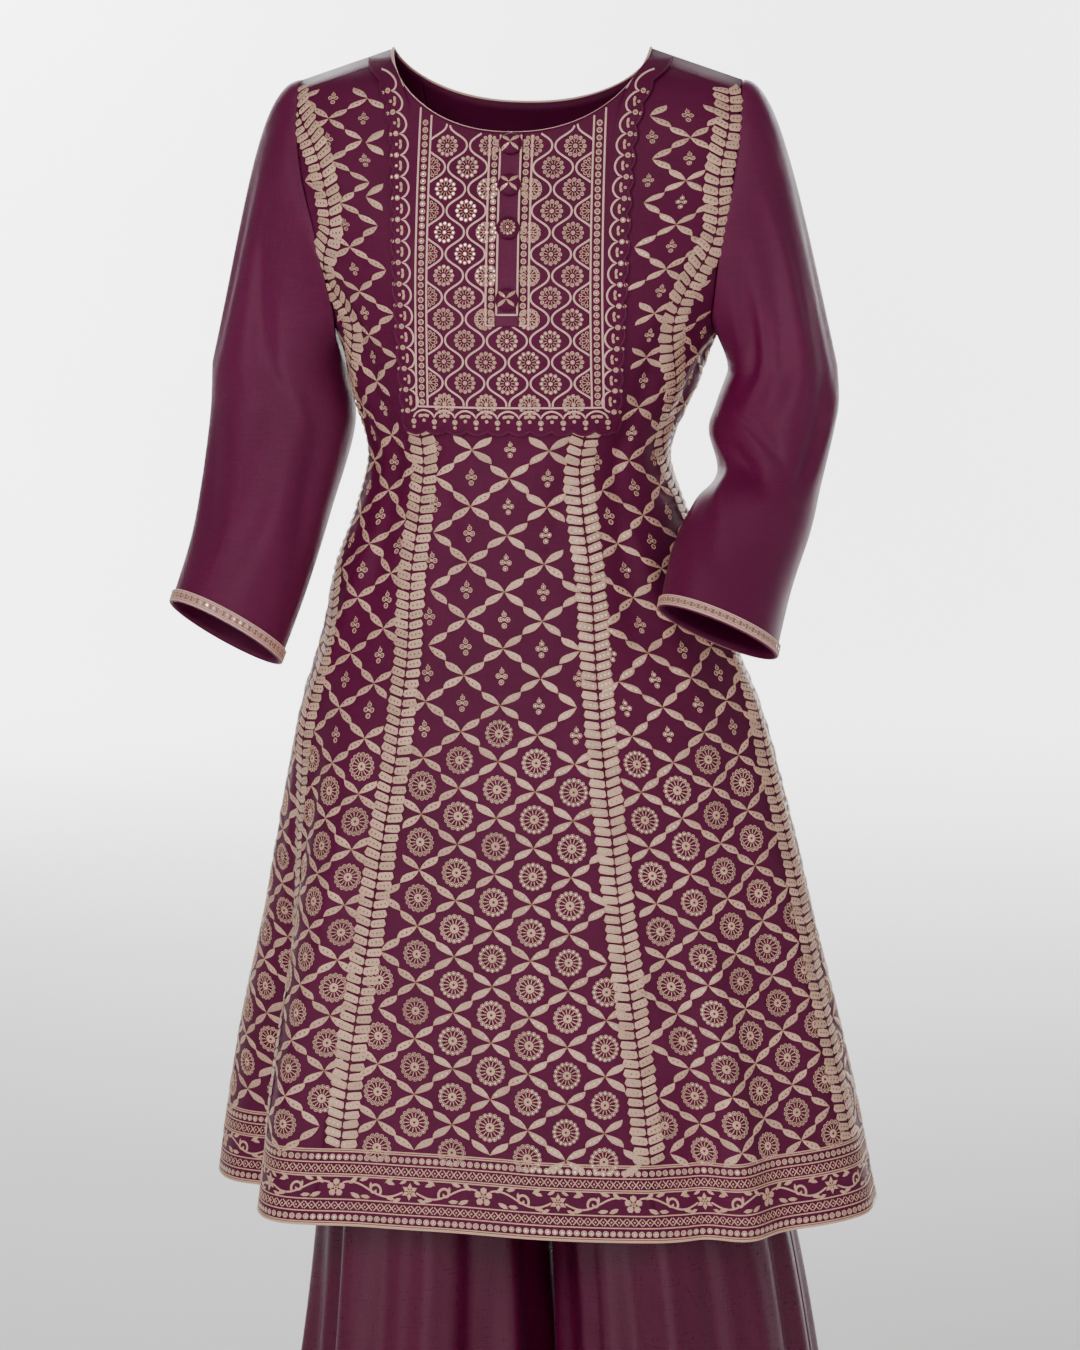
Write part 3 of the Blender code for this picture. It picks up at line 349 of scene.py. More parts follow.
def shararaPoint(side, face, u, row):
    # a quarter of the hip ring above the crotch, half of the leg's ring below, with flutes and
    # finer folds that grow towards the hem
    u, row = np.broadcast_arrays(np.asarray(u, float), np.asarray(row, float))
    z = sharara["waistZ"] + (sharara["hemZ"] - sharara["waistZ"]) * row
    hand = "right" if side > 0 else "left"
    half, depth = (smoothValue(z, sharara["z"], sharara[name]) for name in ("half", face))
    down = np.clip((sharara["waistZ"] - z) / (sharara["waistZ"] - sharara["crotchZ"]), 0, 1)
    parted = 1 - np.sqrt(1 - down**2)
    hipTurn, legTurn = np.radians(90 * u), np.radians(180 * u)
    legHalf = (half - sharara["legGap"] / 2) / 2
    x = half * np.cos(hipTurn) * (1 - parted) + (
        sharara["legGap"] / 2 + legHalf * (1 + np.cos(legTurn))) * parted
    y = depth * (np.sin(hipTurn) * (1 - parted) + np.sin(legTurn) * parted)
    start = sharara["fluteTop"][face]
    grown = smoothStep((start - z) / (start - sharara["hemZ"]))
    roundLeg = legTurn if face == "front" else 2 * math.pi - legTurn
    outerCalm, innerCalm = sharara["calm"]
    calm = smoothStep(u / outerCalm) * smoothStep((1 - u) / innerCalm)
    wave = sharara["fluteDepth"] * np.cos(sharara["flutes"] * roundLeg + sharara["phase"][hand]) * calm
    drift = 0.9 * np.sin(row * 5.1 + side * 1.1) + 0.5 * np.sin(2 * roundLeg + side)
    edge = smoothStep(u / 0.05) * smoothStep((1 - u) / 0.05)
    fine = sharara["fineDepth"] * edge * (
        np.cos(sharara["fineFolds"] * roundLeg + 1.6 * drift) * (0.6 + 0.4 * np.sin(3.3 * roundLeg + side))
        + 0.35 * np.cos(1.63 * sharara["fineFolds"] * roundLeg - 2.2 * drift + 2))
    away = unit(np.stack([np.cos(legTurn) / legHalf, np.sin(legTurn) / depth], -1))
    swell = (grown * (wave + fine))[..., None] * away
    forward = -1.0 if face == "front" else 1.0
    y = forward * (y + swell[..., 1])
    x = side * (x + swell[..., 0]) + smoothValue(z, sharara["z"], sharara["shift"])
    return np.stack([x + sharara["legLean"] * parted * y, y, z], -1)


# meshes


def gridFaces(rows, columns, wraps):
    # quads of a grid whose rows run down and whose columns run anticlockwise seen from above
    index = np.arange(rows * columns).reshape(rows, columns)
    if wraps:
        index = np.concatenate([index, index[:, :1]], axis=1)
    return np.stack([index[:-1, :-1], index[1:, :-1], index[1:, 1:], index[:-1, 1:]], -1).reshape(-1, 4)


def makePiece(name, points, faces, materials, replaced=(), wall=0.0, places=None, uv=None, tone=None):
    # places gives each face's material; uv and tone are one value for each point
    mesh = bpy.data.meshes.new(name)
    mesh.from_pydata(points.reshape(-1, 3).tolist(), [], faces.tolist())
    for finish in materials:
        mesh.materials.append(finish)
    if places is not None:
        mesh.polygons.foreach_set("material_index", np.asarray(places, dtype=np.int32))
    corners = np.empty(len(mesh.loops), dtype=np.int32)
    mesh.loops.foreach_get("vertex_index", corners)
    if uv is not None:
        layer = mesh.uv_layers.new(name="stitch")
        layer.data.foreach_set("uv", uv.reshape(-1, 2)[corners].ravel().astype(np.float32))
    if tone is not None:
        values = mesh.attributes.new("tone", "FLOAT", "POINT")
        values.data.foreach_set("value", tone.ravel().astype(np.float32))
    mesh.shade_smooth()
    made = bpy.data.objects.new(name, mesh)
    bpy.context.scene.collection.objects.link(made)
    if wall:
        solidify = made.modifiers.new("wall", "SOLIDIFY")
        solidify.thickness, solidify.offset = wall, -1.0
    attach(made, "root")
    if replaced:
        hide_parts(*replaced)
    return made


# finishes


def newMaterial(name):
    made = bpy.data.materials.new(name)
    made.use_nodes = True
    return made.node_tree, made.node_tree.nodes["Principled BSDF"], made


def node(tree, kind, settings=(), **inputs):
    made = tree.nodes.new(kind)
    for name, value in dict(settings).items():
        setattr(made, name, value)
    for name, value in inputs.items():
        socket = made.inputs[name.replace("_", " ")] if not name.startswith("in") else made.inputs[int(name[2:])]
        if isinstance(value, bpy.types.NodeSocket):
            tree.links.new(value, socket)
        else:
            socket.default_value = value
    return made


def newGroup(name, sockets, outputs):
    group = bpy.data.node_groups.new(name, "ShaderNodeTree")
    for label, kind, value in sockets:
        made = group.interface.new_socket(label, in_out="INPUT", socket_type=kind)
        if value is not None:
            made.default_value = value
    for label, kind in outputs:
        group.interface.new_socket(label, in_out="OUTPUT", socket_type=kind)
    return group, group.nodes.new("NodeGroupInput").outputs, group.nodes.new("NodeGroupOutput").inputs


def weaveGroup():
    # fine crossed threads with slubs, and a slow drift of tone, all read from Object coordinates
    group, given, out = newGroup("weave", [
        ("Base", "NodeSocketColor", (0.1, 0.01, 0.05, 1)), ("Pitch", "NodeSocketFloat", 1500.0),
        ("Slub", "NodeSocketFloat", 0.2), ("Drift", "NodeSocketFloat", 0.15), ("Depth", "NodeSocketFloat", 0.1),
    ], [("Color", "NodeSocketColor"), ("Roughness Shift", "NodeSocketFloat"), ("Normal", "NodeSocketVector")])
    where = node(group, "ShaderNodeTexCoord").outputs["Object"]
    split = node(group, "ShaderNodeSeparateXYZ", Vector=where).outputs
    sideways = node(group, "ShaderNodeMath", {"operation": "ADD"}, in0=split[0], in1=split[1]).outputs[0]
    waves = []
    for axis in (sideways, split[2]):
        scaled = node(group, "ShaderNodeMath", {"operation": "MULTIPLY"}, in0=axis, in1=given["Pitch"]).outputs[0]
        waves.append(node(group, "ShaderNodeMath", {"operation": "SINE"}, in0=scaled).outputs[0])
    threads = node(group, "ShaderNodeMath", {"operation": "MULTIPLY"}, in0=waves[0], in1=waves[1]).outputs[0]
    stretched = node(group, "ShaderNodeMapping", {"vector_type": "POINT"}, Vector=where, Scale=(900.0, 900.0, 90.0)).outputs[0]
    slubs = node(group, "ShaderNodeTexNoise", Vector=stretched, Scale=1.0, Detail=2.0).outputs[0]
    flat = node(group, "ShaderNodeMapping", {"vector_type": "POINT"}, Vector=where, Scale=(60.0, 60.0, 1100.0)).outputs[0]
    weft = node(group, "ShaderNodeTexNoise", Vector=flat, Scale=1.0, Detail=2.0).outputs[0]
    both = node(group, "ShaderNodeMath", {"operation": "ADD"}, in0=slubs, in1=weft).outputs[0]
    drift = node(group, "ShaderNodeTexNoise", Vector=where, Scale=7.0, Detail=3.0).outputs[0]

    def around(value, middle, amount):
        moved = node(group, "ShaderNodeMath", {"operation": "SUBTRACT"}, in0=value, in1=middle).outputs[0]
        return node(group, "ShaderNodeMath", {"operation": "MULTIPLY"}, in0=moved, in1=amount).outputs[0]

    tone = node(group, "ShaderNodeMath", {"operation": "ADD"}, in0=around(both, 1.0, given["Slub"]),
                in1=around(drift, 0.5, given["Drift"])).outputs[0]
    gain = node(group, "ShaderNodeMath", {"operation": "ADD"}, in0=tone, in1=1.0).outputs[0]
    grown = node(group, "ShaderNodeCombineXYZ", in0=gain, in1=gain, in2=gain).outputs[0]
    colour = node(group, "ShaderNodeMix", {"data_type": "RGBA", "blend_type": "MULTIPLY"})
    colour.inputs["Factor"].default_value = 1.0
    group.links.new(given["Base"], colour.inputs[6])
    group.links.new(grown, colour.inputs[7])
    high = node(group, "ShaderNodeMath", {"operation": "ADD"}, in0=threads, in1=both).outputs[0]
    bump = node(group, "ShaderNodeBump", Strength=given["Depth"], Distance=0.0004, Height=high).outputs[0]
    group.links.new(colour.outputs[2], out["Color"])
    group.links.new(around(both, 1.0, 0.12), out["Roughness Shift"])
    group.links.new(bump, out["Normal"])
    return group


def stitchGroup():
    # satin stitches that run across a shape, read from its own millimetres, with painted shade in the grooves between
    # stitches, and each shape's tone
    group, given, out = newGroup("stitches", [
        ("Base", "NodeSocketColor", (0.7, 0.45, 0.3, 1)), ("Shade", "NodeSocketColor", (0.3, 0.15, 0.1, 1)),
        ("Pitch", "NodeSocketFloat", 7.0), ("Contrast", "NodeSocketFloat", 0.5), ("Depth", "NodeSocketFloat", 0.4),
    ], [("Color", "NodeSocketColor"), ("Roughness", "NodeSocketFloat"), ("Normal", "NodeSocketVector")])
    where = node(group, "ShaderNodeUVMap", {"uv_map": "stitch"}).outputs[0]
    split = node(group, "ShaderNodeSeparateXYZ", Vector=where).outputs
    lean = node(group, "ShaderNodeMath", {"operation": "MULTIPLY"}, in0=split[1], in1=0.6).outputs[0]
    slant = node(group, "ShaderNodeMath", {"operation": "ADD"}, in0=split[0], in1=lean).outputs[0]
    scaled = node(group, "ShaderNodeMath", {"operation": "MULTIPLY"}, in0=slant, in1=given["Pitch"]).outputs[0]
    wave = node(group, "ShaderNodeMath", {"operation": "SINE"}, in0=scaled).outputs[0]
    body = node(group, "ShaderNodeTexCoord").outputs["Object"]
    grain = node(group, "ShaderNodeTexNoise", Vector=body, Scale=900.0, Detail=2.0).outputs[0]
    mixed = node(group, "ShaderNodeMath", {"operation": "MULTIPLY_ADD"}, in0=wave, in1=0.22, in2=grain).outputs[0]
    factor = node(group, "ShaderNodeMapRange", Value=mixed, in1=0.3, in2=0.72, in3=0.0, in4=1.0).outputs[0]
    eased = node(group, "ShaderNodeMath", {"operation": "MULTIPLY_ADD"}, in0=factor, in1=given["Contrast"]).outputs[0]
    rest = node(group, "ShaderNodeMath", {"operation": "SUBTRACT"}, in0=1.0, in1=given["Contrast"]).outputs[0]
    group.links.new(rest, eased.node.inputs[2])
    # painted shade: the colour darkens towards the shade colour in the grooves between stitches, where the bump is low
    colour = node(group, "ShaderNodeMix", {"data_type": "RGBA"})
    for socket, value in ((0, eased), (6, given["Shade"]), (7, given["Base"])):
        group.links.new(value, colour.inputs[socket])
    tone = node(group, "ShaderNodeAttribute", {"attribute_name": "tone"}).outputs["Fac"]
    grown = node(group, "ShaderNodeCombineXYZ", in0=tone, in1=tone, in2=tone).outputs[0]
    toned = node(group, "ShaderNodeMix", {"data_type": "RGBA", "blend_type": "MULTIPLY"})
    toned.inputs["Factor"].default_value = 1.0
    group.links.new(colour.outputs[2], toned.inputs[6])
    group.links.new(grown, toned.inputs[7])
    bump = node(group, "ShaderNodeBump", Strength=given["Depth"], Distance=0.0003, Height=mixed).outputs[0]
    rough = node(group, "ShaderNodeMath", {"operation": "MULTIPLY_ADD"}, in0=grain, in1=0.25, in2=0.32).outputs[0]
    group.links.new(toned.outputs[2], out["Color"])
    group.links.new(rough, out["Roughness"])
    group.links.new(bump, out["Normal"])
    return group


weave, stitches = weaveGroup(), stitchGroup()
clothFinishes = {
    "kurtaCloth": {"base": (0.100, 0.0010, 0.036), "roughness": 0.48, "pitch": 5200.0, "slub": 0.5, "drift": 0.5,
                   "depth": 0.35, "specular": 0.22, "sheen": 0.04, "tint": (0.9, 0.25, 0.6), "anisotropy": 0.2},
    "plainCloth": {"base": (0.115, 0.0010, 0.042), "roughness": 0.40, "pitch": 5200.0, "slub": 0.6, "drift": 0.4,
                   "depth": 0.35, "specular": 0.30, "sheen": 0.06, "tint": (0.9, 0.22, 0.6), "anisotropy": 0.35},
    "satin": {"base": (0.085, 0.0008, 0.026), "roughness": 0.30, "pitch": 6500.0, "slub": 0.3, "drift": 0.3,
              "depth": 0.15, "specular": 0.40, "sheen": 0.03, "tint": (0.9, 0.2, 0.5), "anisotropy": 0.5},
}
# each finish's shade colour is the painted shade in the grooves between its stitches
threadFinishes = {
    "thread": {"base": (0.80, 0.50, 0.35), "grooveShade": (0.40, 0.19, 0.13), "pitch": 9.0, "contrast": 0.55,
               "depth": 0.5, "metallic": 0.12},
    "cuffGround": {"base": (0.40, 0.16, 0.14), "grooveShade": (0.16, 0.03, 0.05), "pitch": 4.0, "contrast": 0.6,
                   "depth": 0.4, "metallic": 0.0},
    "cord": {"base": (0.86, 0.56, 0.46), "grooveShade": (0.58, 0.28, 0.24), "pitch": 6.0, "contrast": 0.4,
             "depth": 0.4, "metallic": 0.0},
}
finishes = {}
for name, look in clothFinishes.items():
    tree, shader, finishes[name] = newMaterial(name)
    cloth = node(tree, "ShaderNodeGroup", {"node_tree": weave}, Base=(*look["base"], 1), Pitch=look["pitch"],
                 Slub=look["slub"], Drift=look["drift"], Depth=look["depth"]).outputs
    rough = node(tree, "ShaderNodeMath", {"operation": "ADD"}, in0=cloth["Roughness Shift"], in1=look["roughness"])
    for source, target in ((cloth["Color"], "Base Color"), (cloth["Normal"], "Normal"), (rough.outputs[0], "Roughness")):
        tree.links.new(source, shader.inputs[target])
    shader.inputs["Specular IOR Level"].default_value = look["specular"]
    shader.inputs["Anisotropic"].default_value = look["anisotropy"]
    shader.inputs["Sheen Weight"].default_value = look["sheen"]
    shader.inputs["Sheen Roughness"].default_value = 0.45
    shader.inputs["Sheen Tint"].default_value = (*look["tint"], 1)
for name, look in threadFinishes.items():
    tree, shader, finishes[name] = newMaterial(name)
    sewn = node(tree, "ShaderNodeGroup", {"node_tree": stitches}, Base=(*look["base"], 1), Shade=(*look["grooveShade"], 1),
                Pitch=look["pitch"], Contrast=look["contrast"], Depth=look["depth"]).outputs
    for source, target in ((sewn["Color"], "Base Color"), (sewn["Normal"], "Normal"), (sewn["Roughness"], "Roughness")):
        tree.links.new(source, shader.inputs[target])
    shader.inputs["Metallic"].default_value = look["metallic"]
    shader.inputs["Sheen Weight"].default_value = 0.1
tree, shader, finishes["sequin"] = newMaterial("sequin")
# painted glint: the sequins' colour is lifted towards a near-white in small random spots
spark = node(tree, "ShaderNodeTexNoise", Vector=node(tree, "ShaderNodeTexCoord").outputs["Object"], Scale=420.0)
glint = node(tree, "ShaderNodeMix", {"data_type": "RGBA"}, in0=spark.outputs[0])
glint.inputs[6].default_value, glint.inputs[7].default_value = (0.62, 0.40, 0.30, 1), (1.0, 0.86, 0.78, 1)
tree.links.new(glint.outputs[2], shader.inputs["Base Color"])
shader.inputs["Metallic"].default_value, shader.inputs["Roughness"].default_value = 0.85, 0.22
for name, colour, roughness in (("sequinHeart", (0.10, 0.02, 0.03), 0.5), ("floor", (0.93, 0.93, 0.93), 0.75)):
    tree, shader, finishes[name] = newMaterial(name)
    mottle = node(tree, "ShaderNodeTexNoise", Vector=node(tree, "ShaderNodeTexCoord").outputs["Object"], Scale=3.0)
    tint = node(tree, "ShaderNodeMix", {"data_type": "RGBA"}, in0=mottle.outputs[0])
    tint.inputs[6].default_value = (*colour, 1)
    tint.inputs[7].default_value = (*(c * 0.97 for c in colour), 1)
    tree.links.new(tint.outputs[2], shader.inputs["Base Color"])
    shader.inputs["Roughness"].default_value = roughness
print("finishes made")


# the kurta's six panels

panels = {
    "rows": (46, 96), "columns": {"centre": 56, "side": 72}, "wall": 0.0012,
    "flat": {"centre": (0.31, 0.98), "left": (0.33, 1.01), "right": (0.33, 1.01)},
    "area": {},
}
aboveRows = np.linspace(0, 1, panels["rows"][0]) ** 0.9
panelRows = np.concatenate([aboveRows, 1 + np.linspace(0, 1, panels["rows"][1])[1:]])


def sideShares():
    # even along the neck, then the shoulder seam, then the armhole
    top = panelSeam["u"][0]
    u = np.concatenate([np.linspace(top, kurta["neckEnd"], 16),
                        np.linspace(kurta["neckEnd"], kurta["shoulderEnd"], 20)[1:],
                        np.linspace(kurta["shoulderEnd"], 1.0, 38)[1:]])
    return (u - top) / (1 - top)


def kurtaPanel(face, hand):
    share = np.linspace(-1, 1, panels["columns"]["centre"]) if hand == "centre" else sideShares()
    sign = {"centre": 0, "left": -1, "right": 1}[hand]
    share, row = np.meshgrid(share, panelRows)
    seam = smoothValue(row, panelSeam["row"], panelSeam["u"])
    u = share * seam if sign == 0 else sign * (seam + (1 - seam) * share)
    if (face == "front") == (sign < 0):
        u, row = u[:, ::-1], row[:, ::-1]
    angle, level = panelPlace(face, u, row)
    points = clothPoint(angle, level)
    node = f"kurta_{face}_{hand}"
    name = "kurta" + face.capitalize() + hand.capitalize()
    uv = np.stack([angle * creases["perDegree"], level * creases["lower"]], -1)
    made = makePiece(name, points, gridFaces(*points.shape[:2], False), [finishes["kurtaCloth"]],
                     (node,), panels["wall"], uv=uv)
    return made


for face in ("front", "back"):
    for hand in ("centre", "left", "right"):
        kurtaPanel(face, hand)
print("kurta panels made")


# sleeves

sleeveCut = {"wall": 0.0010, "round": 100, "along": 84, "flat": {"left": (0.42, 0.56), "right": (0.40, 0.57)}}
for hand in ("left", "right"):
    columns = np.arange(sleeveCut["round"]) * 360.0 / sleeveCut["round"]
    columns = columns if hand == "left" else columns[::-1]
    angle, along = np.meshgrid(columns, np.linspace(0, 1, sleeveCut["along"]))
    points = sleevePoint(hand, angle, along)
    uv = np.stack([angle * 0.001, along * 0.5], -1)
    made = makePiece("sleeve" + hand.capitalize(), points, gridFaces(*points.shape[:2], True),
                     [finishes["plainCloth"]], (f"sleeve_{hand}",), sleeveCut["wall"], uv=uv)
    width, length = sleeveCut["flat"][hand]
print("sleeves made")


# the sharara

shararaCut = {"wall": 0.0010, "across": 94, "rows": 94, "flat": (0.60, 1.00)}
for face, forward in (("front", -1), ("back", 1)):
    for hand, side in (("left", -1), ("right", 1)):
        across = np.linspace(0, 1, shararaCut["across"])[:: side * forward]
        u, row = np.meshgrid(across, np.linspace(0.03, 1, shararaCut["rows"]))
        points = shararaPoint(side, face, u, row)
        uv = np.stack([u * shararaCut["flat"][0], row], -1)
        made = makePiece(f"sharara{face.capitalize()}{hand.capitalize()}", points,
                         gridFaces(*points.shape[:2], False), [finishes["satin"]],
                         (f"sharara_{face}_{hand}",), shararaCut["wall"], uv=uv)

waistband = {"height": 0.035, "wall": 0.0025, "lift": 0.0010, "flat": (0.76, 0.039)}
turn, z = np.meshgrid(np.radians(np.arange(180) * 2.0),
                      sharara["waistZ"] - np.linspace(-0.004, waistband["height"], 8))
lift = waistband["lift"] + waistband["wall"]
gather = 0.0006 * np.sin(60 * turn) * np.sin((z - sharara["waistZ"] - 0.004) / 0.039 * math.pi) ** 2
half = smoothValue(z, sharara["z"], sharara["half"]) + lift + gather
depth = np.where(np.sin(turn) < 0, smoothValue(z, sharara["z"], sharara["front"]),
                 smoothValue(z, sharara["z"], sharara["back"])) + lift + gather
points = np.stack([half * np.cos(turn) + smoothValue(z, sharara["z"], sharara["shift"]),
                   depth * np.sin(turn), z], -1)
made = makePiece("shararaWaistband", points, gridFaces(*points.shape[:2], True), [finishes["satin"]],
                 ("sharara_waistband",), waistband["wall"], uv=np.stack([turn * 0.12, z], -1))
print("sharara made")



# embroidery: small raised shapes in millimetres, repeated over charts of the cloth

threadMix = {"seed": 11, "shift": 0.00025, "turn": 0.05, "size": 0.05, "tone": 0.16}
chance = np.random.default_rng(threadMix["seed"])
threadPlace, cordPlace, sequinPlace, darkPlace = range(4)


def leafMotif(lower, upper, height, edge=0.12):
    # a grid of three rows: the lower edge, a raised middle and the upper edge
    share = np.linspace(0, 1, max(len(lower), len(upper)))
    sides = [np.stack([np.interp(share, np.linspace(0, 1, len(way)), np.array(way)[:, i]) for i in (0, 1)], -1)
             for way in (lower, upper)]
    flat = np.stack([sides[0], (sides[0] + sides[1]) / 2, sides[1]])
    rise = np.array([edge, height, edge])[:, None] * np.ones(len(share))
    points = np.concatenate([flat, rise[..., None]], -1)
    index = np.arange(3 * len(share)).reshape(3, -1)
    quads = np.stack([index[:-1, :-1], index[:-1, 1:], index[1:, 1:], index[1:, :-1]], -1).reshape(-1, 4)
    return motif(points, np.concatenate([quads[:, :3], quads[:, [0, 2, 3]]]), threadPlace)


def motif(points, faces, place):
    points = np.asarray(points, float).reshape(-1, 3)
    return {"points": points, "faces": np.asarray(faces), "places": np.full(len(faces), place), "uv": points[:, :2]}


def ringMotif(outer, inner, height, sides=8, place=1):
    # a flat ring with its outer edge low
    turn = np.arange(sides) * 2 * math.pi / sides
    circle = np.stack([np.cos(turn), np.sin(turn)], -1)
    middle = (outer + inner) / 2
    rims = [(outer, 0.1), (middle, height), (inner, 0.15)]
    points = np.concatenate([np.concatenate([circle * r, np.full((sides, 1), h)], 1) for r, h in rims])
    i = np.arange(sides)
    j = (i + 1) % sides
    faces = []
    for low in (0, sides):
        faces += [np.stack([i + low, j + low, j + low + sides], -1), np.stack([i + low, j + low + sides, i + low + sides], -1)]
    return motif(points, np.concatenate(faces), place)


def discMotif(radius, height, sides=6, place=2, dome=0.0):
    # a fan round a middle point
    turn = np.arange(sides) * 2 * math.pi / sides + 0.3
    points = np.stack([np.cos(turn) * radius, np.sin(turn) * radius, np.full(sides, height)], -1)
    points = np.concatenate([points, [[0, 0, height + dome]]])
    i = np.arange(sides)
    return motif(points, np.stack([i, (i + 1) % sides, np.full(sides, sides)], -1), place)


def together(*parts):
    # parts are (motif, x, y, turn in degrees, size)
    points, faces, places, uv, count = [], [], [], [], 0
    for one, x, y, turn, size in parts:
        c, s = math.cos(math.radians(turn)) * size, math.sin(math.radians(turn)) * size
        p = one["points"]
        points.append(np.stack([x + p[:, 0] * c - p[:, 1] * s, y + p[:, 0] * s + p[:, 1] * c, p[:, 2]], -1))
        faces.append(one["faces"] + count)
        places.append(one["places"])
        uv.append(one["uv"])
        count += len(p)
    return {"points": np.concatenate(points), "faces": np.concatenate(faces),
            "places": np.concatenate(places), "uv": np.concatenate(uv)}


def newStitching():
    return {"points": [], "faces": [], "places": [], "uv": [], "tone": [], "count": 0}


def addPatch(work, points, faces, places, uv, tone):
    work["points"].append(points.reshape(-1, 3))
    work["faces"].append(np.asarray(faces) + work["count"])
    work["places"].append(np.asarray(places))
    work["uv"].append(uv.reshape(-1, 2))
    work["tone"].append(np.broadcast_to(tone, points.shape[:-1]).ravel())
    work["count"] += points.size // 3


def stamp(work, one, place, s, t, turn=0.0, size=1.0, mirror=1.0, lift=0.0, loose=1.0):
    # puts a copy of the motif at each s and t; place turns flat metres and a height into points
    s, t, turn, size, mirror = (np.array(v, float).ravel() for v in np.broadcast_arrays(s, t, turn, size, mirror))
    if not len(s):
        return
    mix = chance.uniform(-1, 1, (5, len(s))) * loose
    s, t = s + mix[0] * threadMix["shift"], t + mix[1] * threadMix["shift"]
    turn, size = turn + mix[2] * threadMix["turn"], size * (1 + mix[3] * threadMix["size"])
    p = one["points"] * 0.001
    x, y = p[None, :, 0] * (size * mirror)[:, None], p[None, :, 1] * size[:, None]
    c, d = np.cos(turn)[:, None], np.sin(turn)[:, None]
    points = place(s[:, None] + x * c - y * d, t[:, None] + x * d + y * c,
                   np.broadcast_to(p[None, :, 2] + lift, x.shape))
    count = np.arange(len(s))[:, None, None] * len(p)
    faces = np.where(mirror[:, None, None] < 0, one["faces"][None, :, ::-1], one["faces"][None]) + count
    addPatch(work, points, faces.reshape(-1, 3), np.tile(one["places"], len(s)),
             np.tile(one["uv"], (len(s), 1)), 1 + mix[4][:, None] * threadMix["tone"])


def ribbon(work, place, path, width, height, material, lift=0.0, closed=False, tone=1.0):
    # a low ridge of that width carried along a flat path in metres
    path = np.asarray(path, float)
    ahead = np.roll(path, -1, 0) - np.roll(path, 1, 0)
    if not closed:
        ahead[0], ahead[-1] = path[1] - path[0], path[-1] - path[-2]
    ahead = unit(ahead)
    side = np.stack([-ahead[:, 1], ahead[:, 0]], -1) * width / 2
    flat = np.stack([path + side, path, path - side], 1)
    rise = np.broadcast_to(np.array([0.0001, height, 0.0001]) + lift, flat.shape[:2])
    points = place(flat[..., 0], flat[..., 1], rise)
    index = np.arange(3 * len(path)).reshape(-1, 3)
    if closed:
        index = np.concatenate([index, index[:1]])
    quads = np.stack([index[:-1, :-1], index[:-1, 1:], index[1:, 1:], index[1:, :-1]], -1).reshape(-1, 4)
    run = np.concatenate([[0], np.cumsum(np.linalg.norm(np.diff(path, axis=0), axis=1))]) * 1000
    uv = np.stack([np.broadcast_to(run[:, None], (len(path), 3)), np.broadcast_to([0.0, 0.5, 1.0], (len(path), 3))], -1)
    addPatch(work, points, np.concatenate([quads[:, :3], quads[:, [0, 2, 3]]]), np.full(2 * len(quads), material), uv, tone)


def finishStitching(name, work):
    made = makePiece(name, np.concatenate(work["points"]), np.concatenate(work["faces"]),
                     [finishes["thread"], finishes["cord"], finishes["sequin"], finishes["sequinHeart"]],
                     places=np.concatenate(work["places"]), uv=np.concatenate(work["uv"]),
                     tone=np.concatenate(work["tone"]))
    print(f"{name}: {len(made.data.polygons)} triangles")
    return made


# charts

def makeChart(middle, squeeze=1.0):
    # s is the distance round the cloth from a middle line, t the distance up it from the hem;
    # squeeze closes up the rows above the bust
    levels = np.linspace(0.0, 2.0, 241)
    off = np.linspace(-105, 105, 421)
    points = clothForm(middle(levels)[:, None] + off, levels[:, None])
    s = np.concatenate([np.zeros((241, 1)), np.cumsum(np.linalg.norm(np.diff(points, axis=1), axis=-1), 1)], 1)
    s -= s[:, 210:211]
    grid = np.linspace(-0.42, 0.42, 421)
    table = np.stack([np.interp(grid, s[i], off) for i in range(241)])
    line = clothForm(middle(levels), levels)
    steps = np.linalg.norm(np.diff(line, axis=0), axis=1)
    steps = steps / np.where(levels[1:] < 0.95, squeeze, 1.0)
    t = np.concatenate([[0], np.cumsum(steps)])
    return {"middle": middle, "levels": levels, "t": t[-1] - t, "grid": grid, "table": table}


def chartPlace(chart, s, t):
    level = np.interp(t, chart["t"][::-1], chart["levels"][::-1])
    row = np.clip(level / 2 * 240, 0, 239.999)
    column = np.clip((s - chart["grid"][0]) / (chart["grid"][1] - chart["grid"][0]), 0, 419.999)
    i, j = row.astype(int), column.astype(int)
    u, v = row - i, column - j
    table = chart["table"]
    off = ((table[i, j] * (1 - v) + table[i, j + 1] * v) * (1 - u)
           + (table[i + 1, j] * (1 - v) + table[i + 1, j + 1] * v) * u)
    return chart["middle"](level) + off, level


def bandPath(points):
    # a band's line in angle and level, its length from the hem up, and the step across it
    points = np.array(points, float)[::-1]
    level = np.linspace(points[0, 1], points[-1, 1], 260)
    angle = smoothValue(level, points[:, 1], points[:, 0])
    line = clothForm(angle, level)
    b = np.concatenate([[0], np.cumsum(np.linalg.norm(np.diff(line, axis=0), axis=1))])
    ahead = unit(np.gradient(line, axis=0))
    perAngle = (clothForm(angle + 0.2, level) - clothForm(angle - 0.2, level)) / 0.4
    perLevel = (clothForm(angle, level + 0.002) - clothForm(angle, level - 0.002)) / 0.004
    across = unit(np.cross(ahead, unit(np.cross(perLevel, perAngle)) * -1))
    across *= np.sign((across * perAngle).sum(-1, keepdims=True))
    e, f, g = ((a * c).sum(-1) for a, c in ((perAngle, perAngle), (perAngle, perLevel), (perLevel, perLevel)))
    p, q = (across * perAngle).sum(-1), (across * perLevel).sum(-1)
    spread = e * g - f * f
    return {"b": b, "angle": angle, "level": level, "stepAngle": (p * g - q * f) / spread,
            "stepLevel": (q * e - p * f) / spread}


def onBand(band):
    def place(a, b, h):
        angle, level, stepAngle, stepLevel = (np.interp(b, band["b"], band[name])
                                              for name in ("angle", "level", "stepAngle", "stepLevel"))
        return onCloth(angle + a * stepAngle, np.clip(level + a * stepLevel, 0, 2), h)
    return place


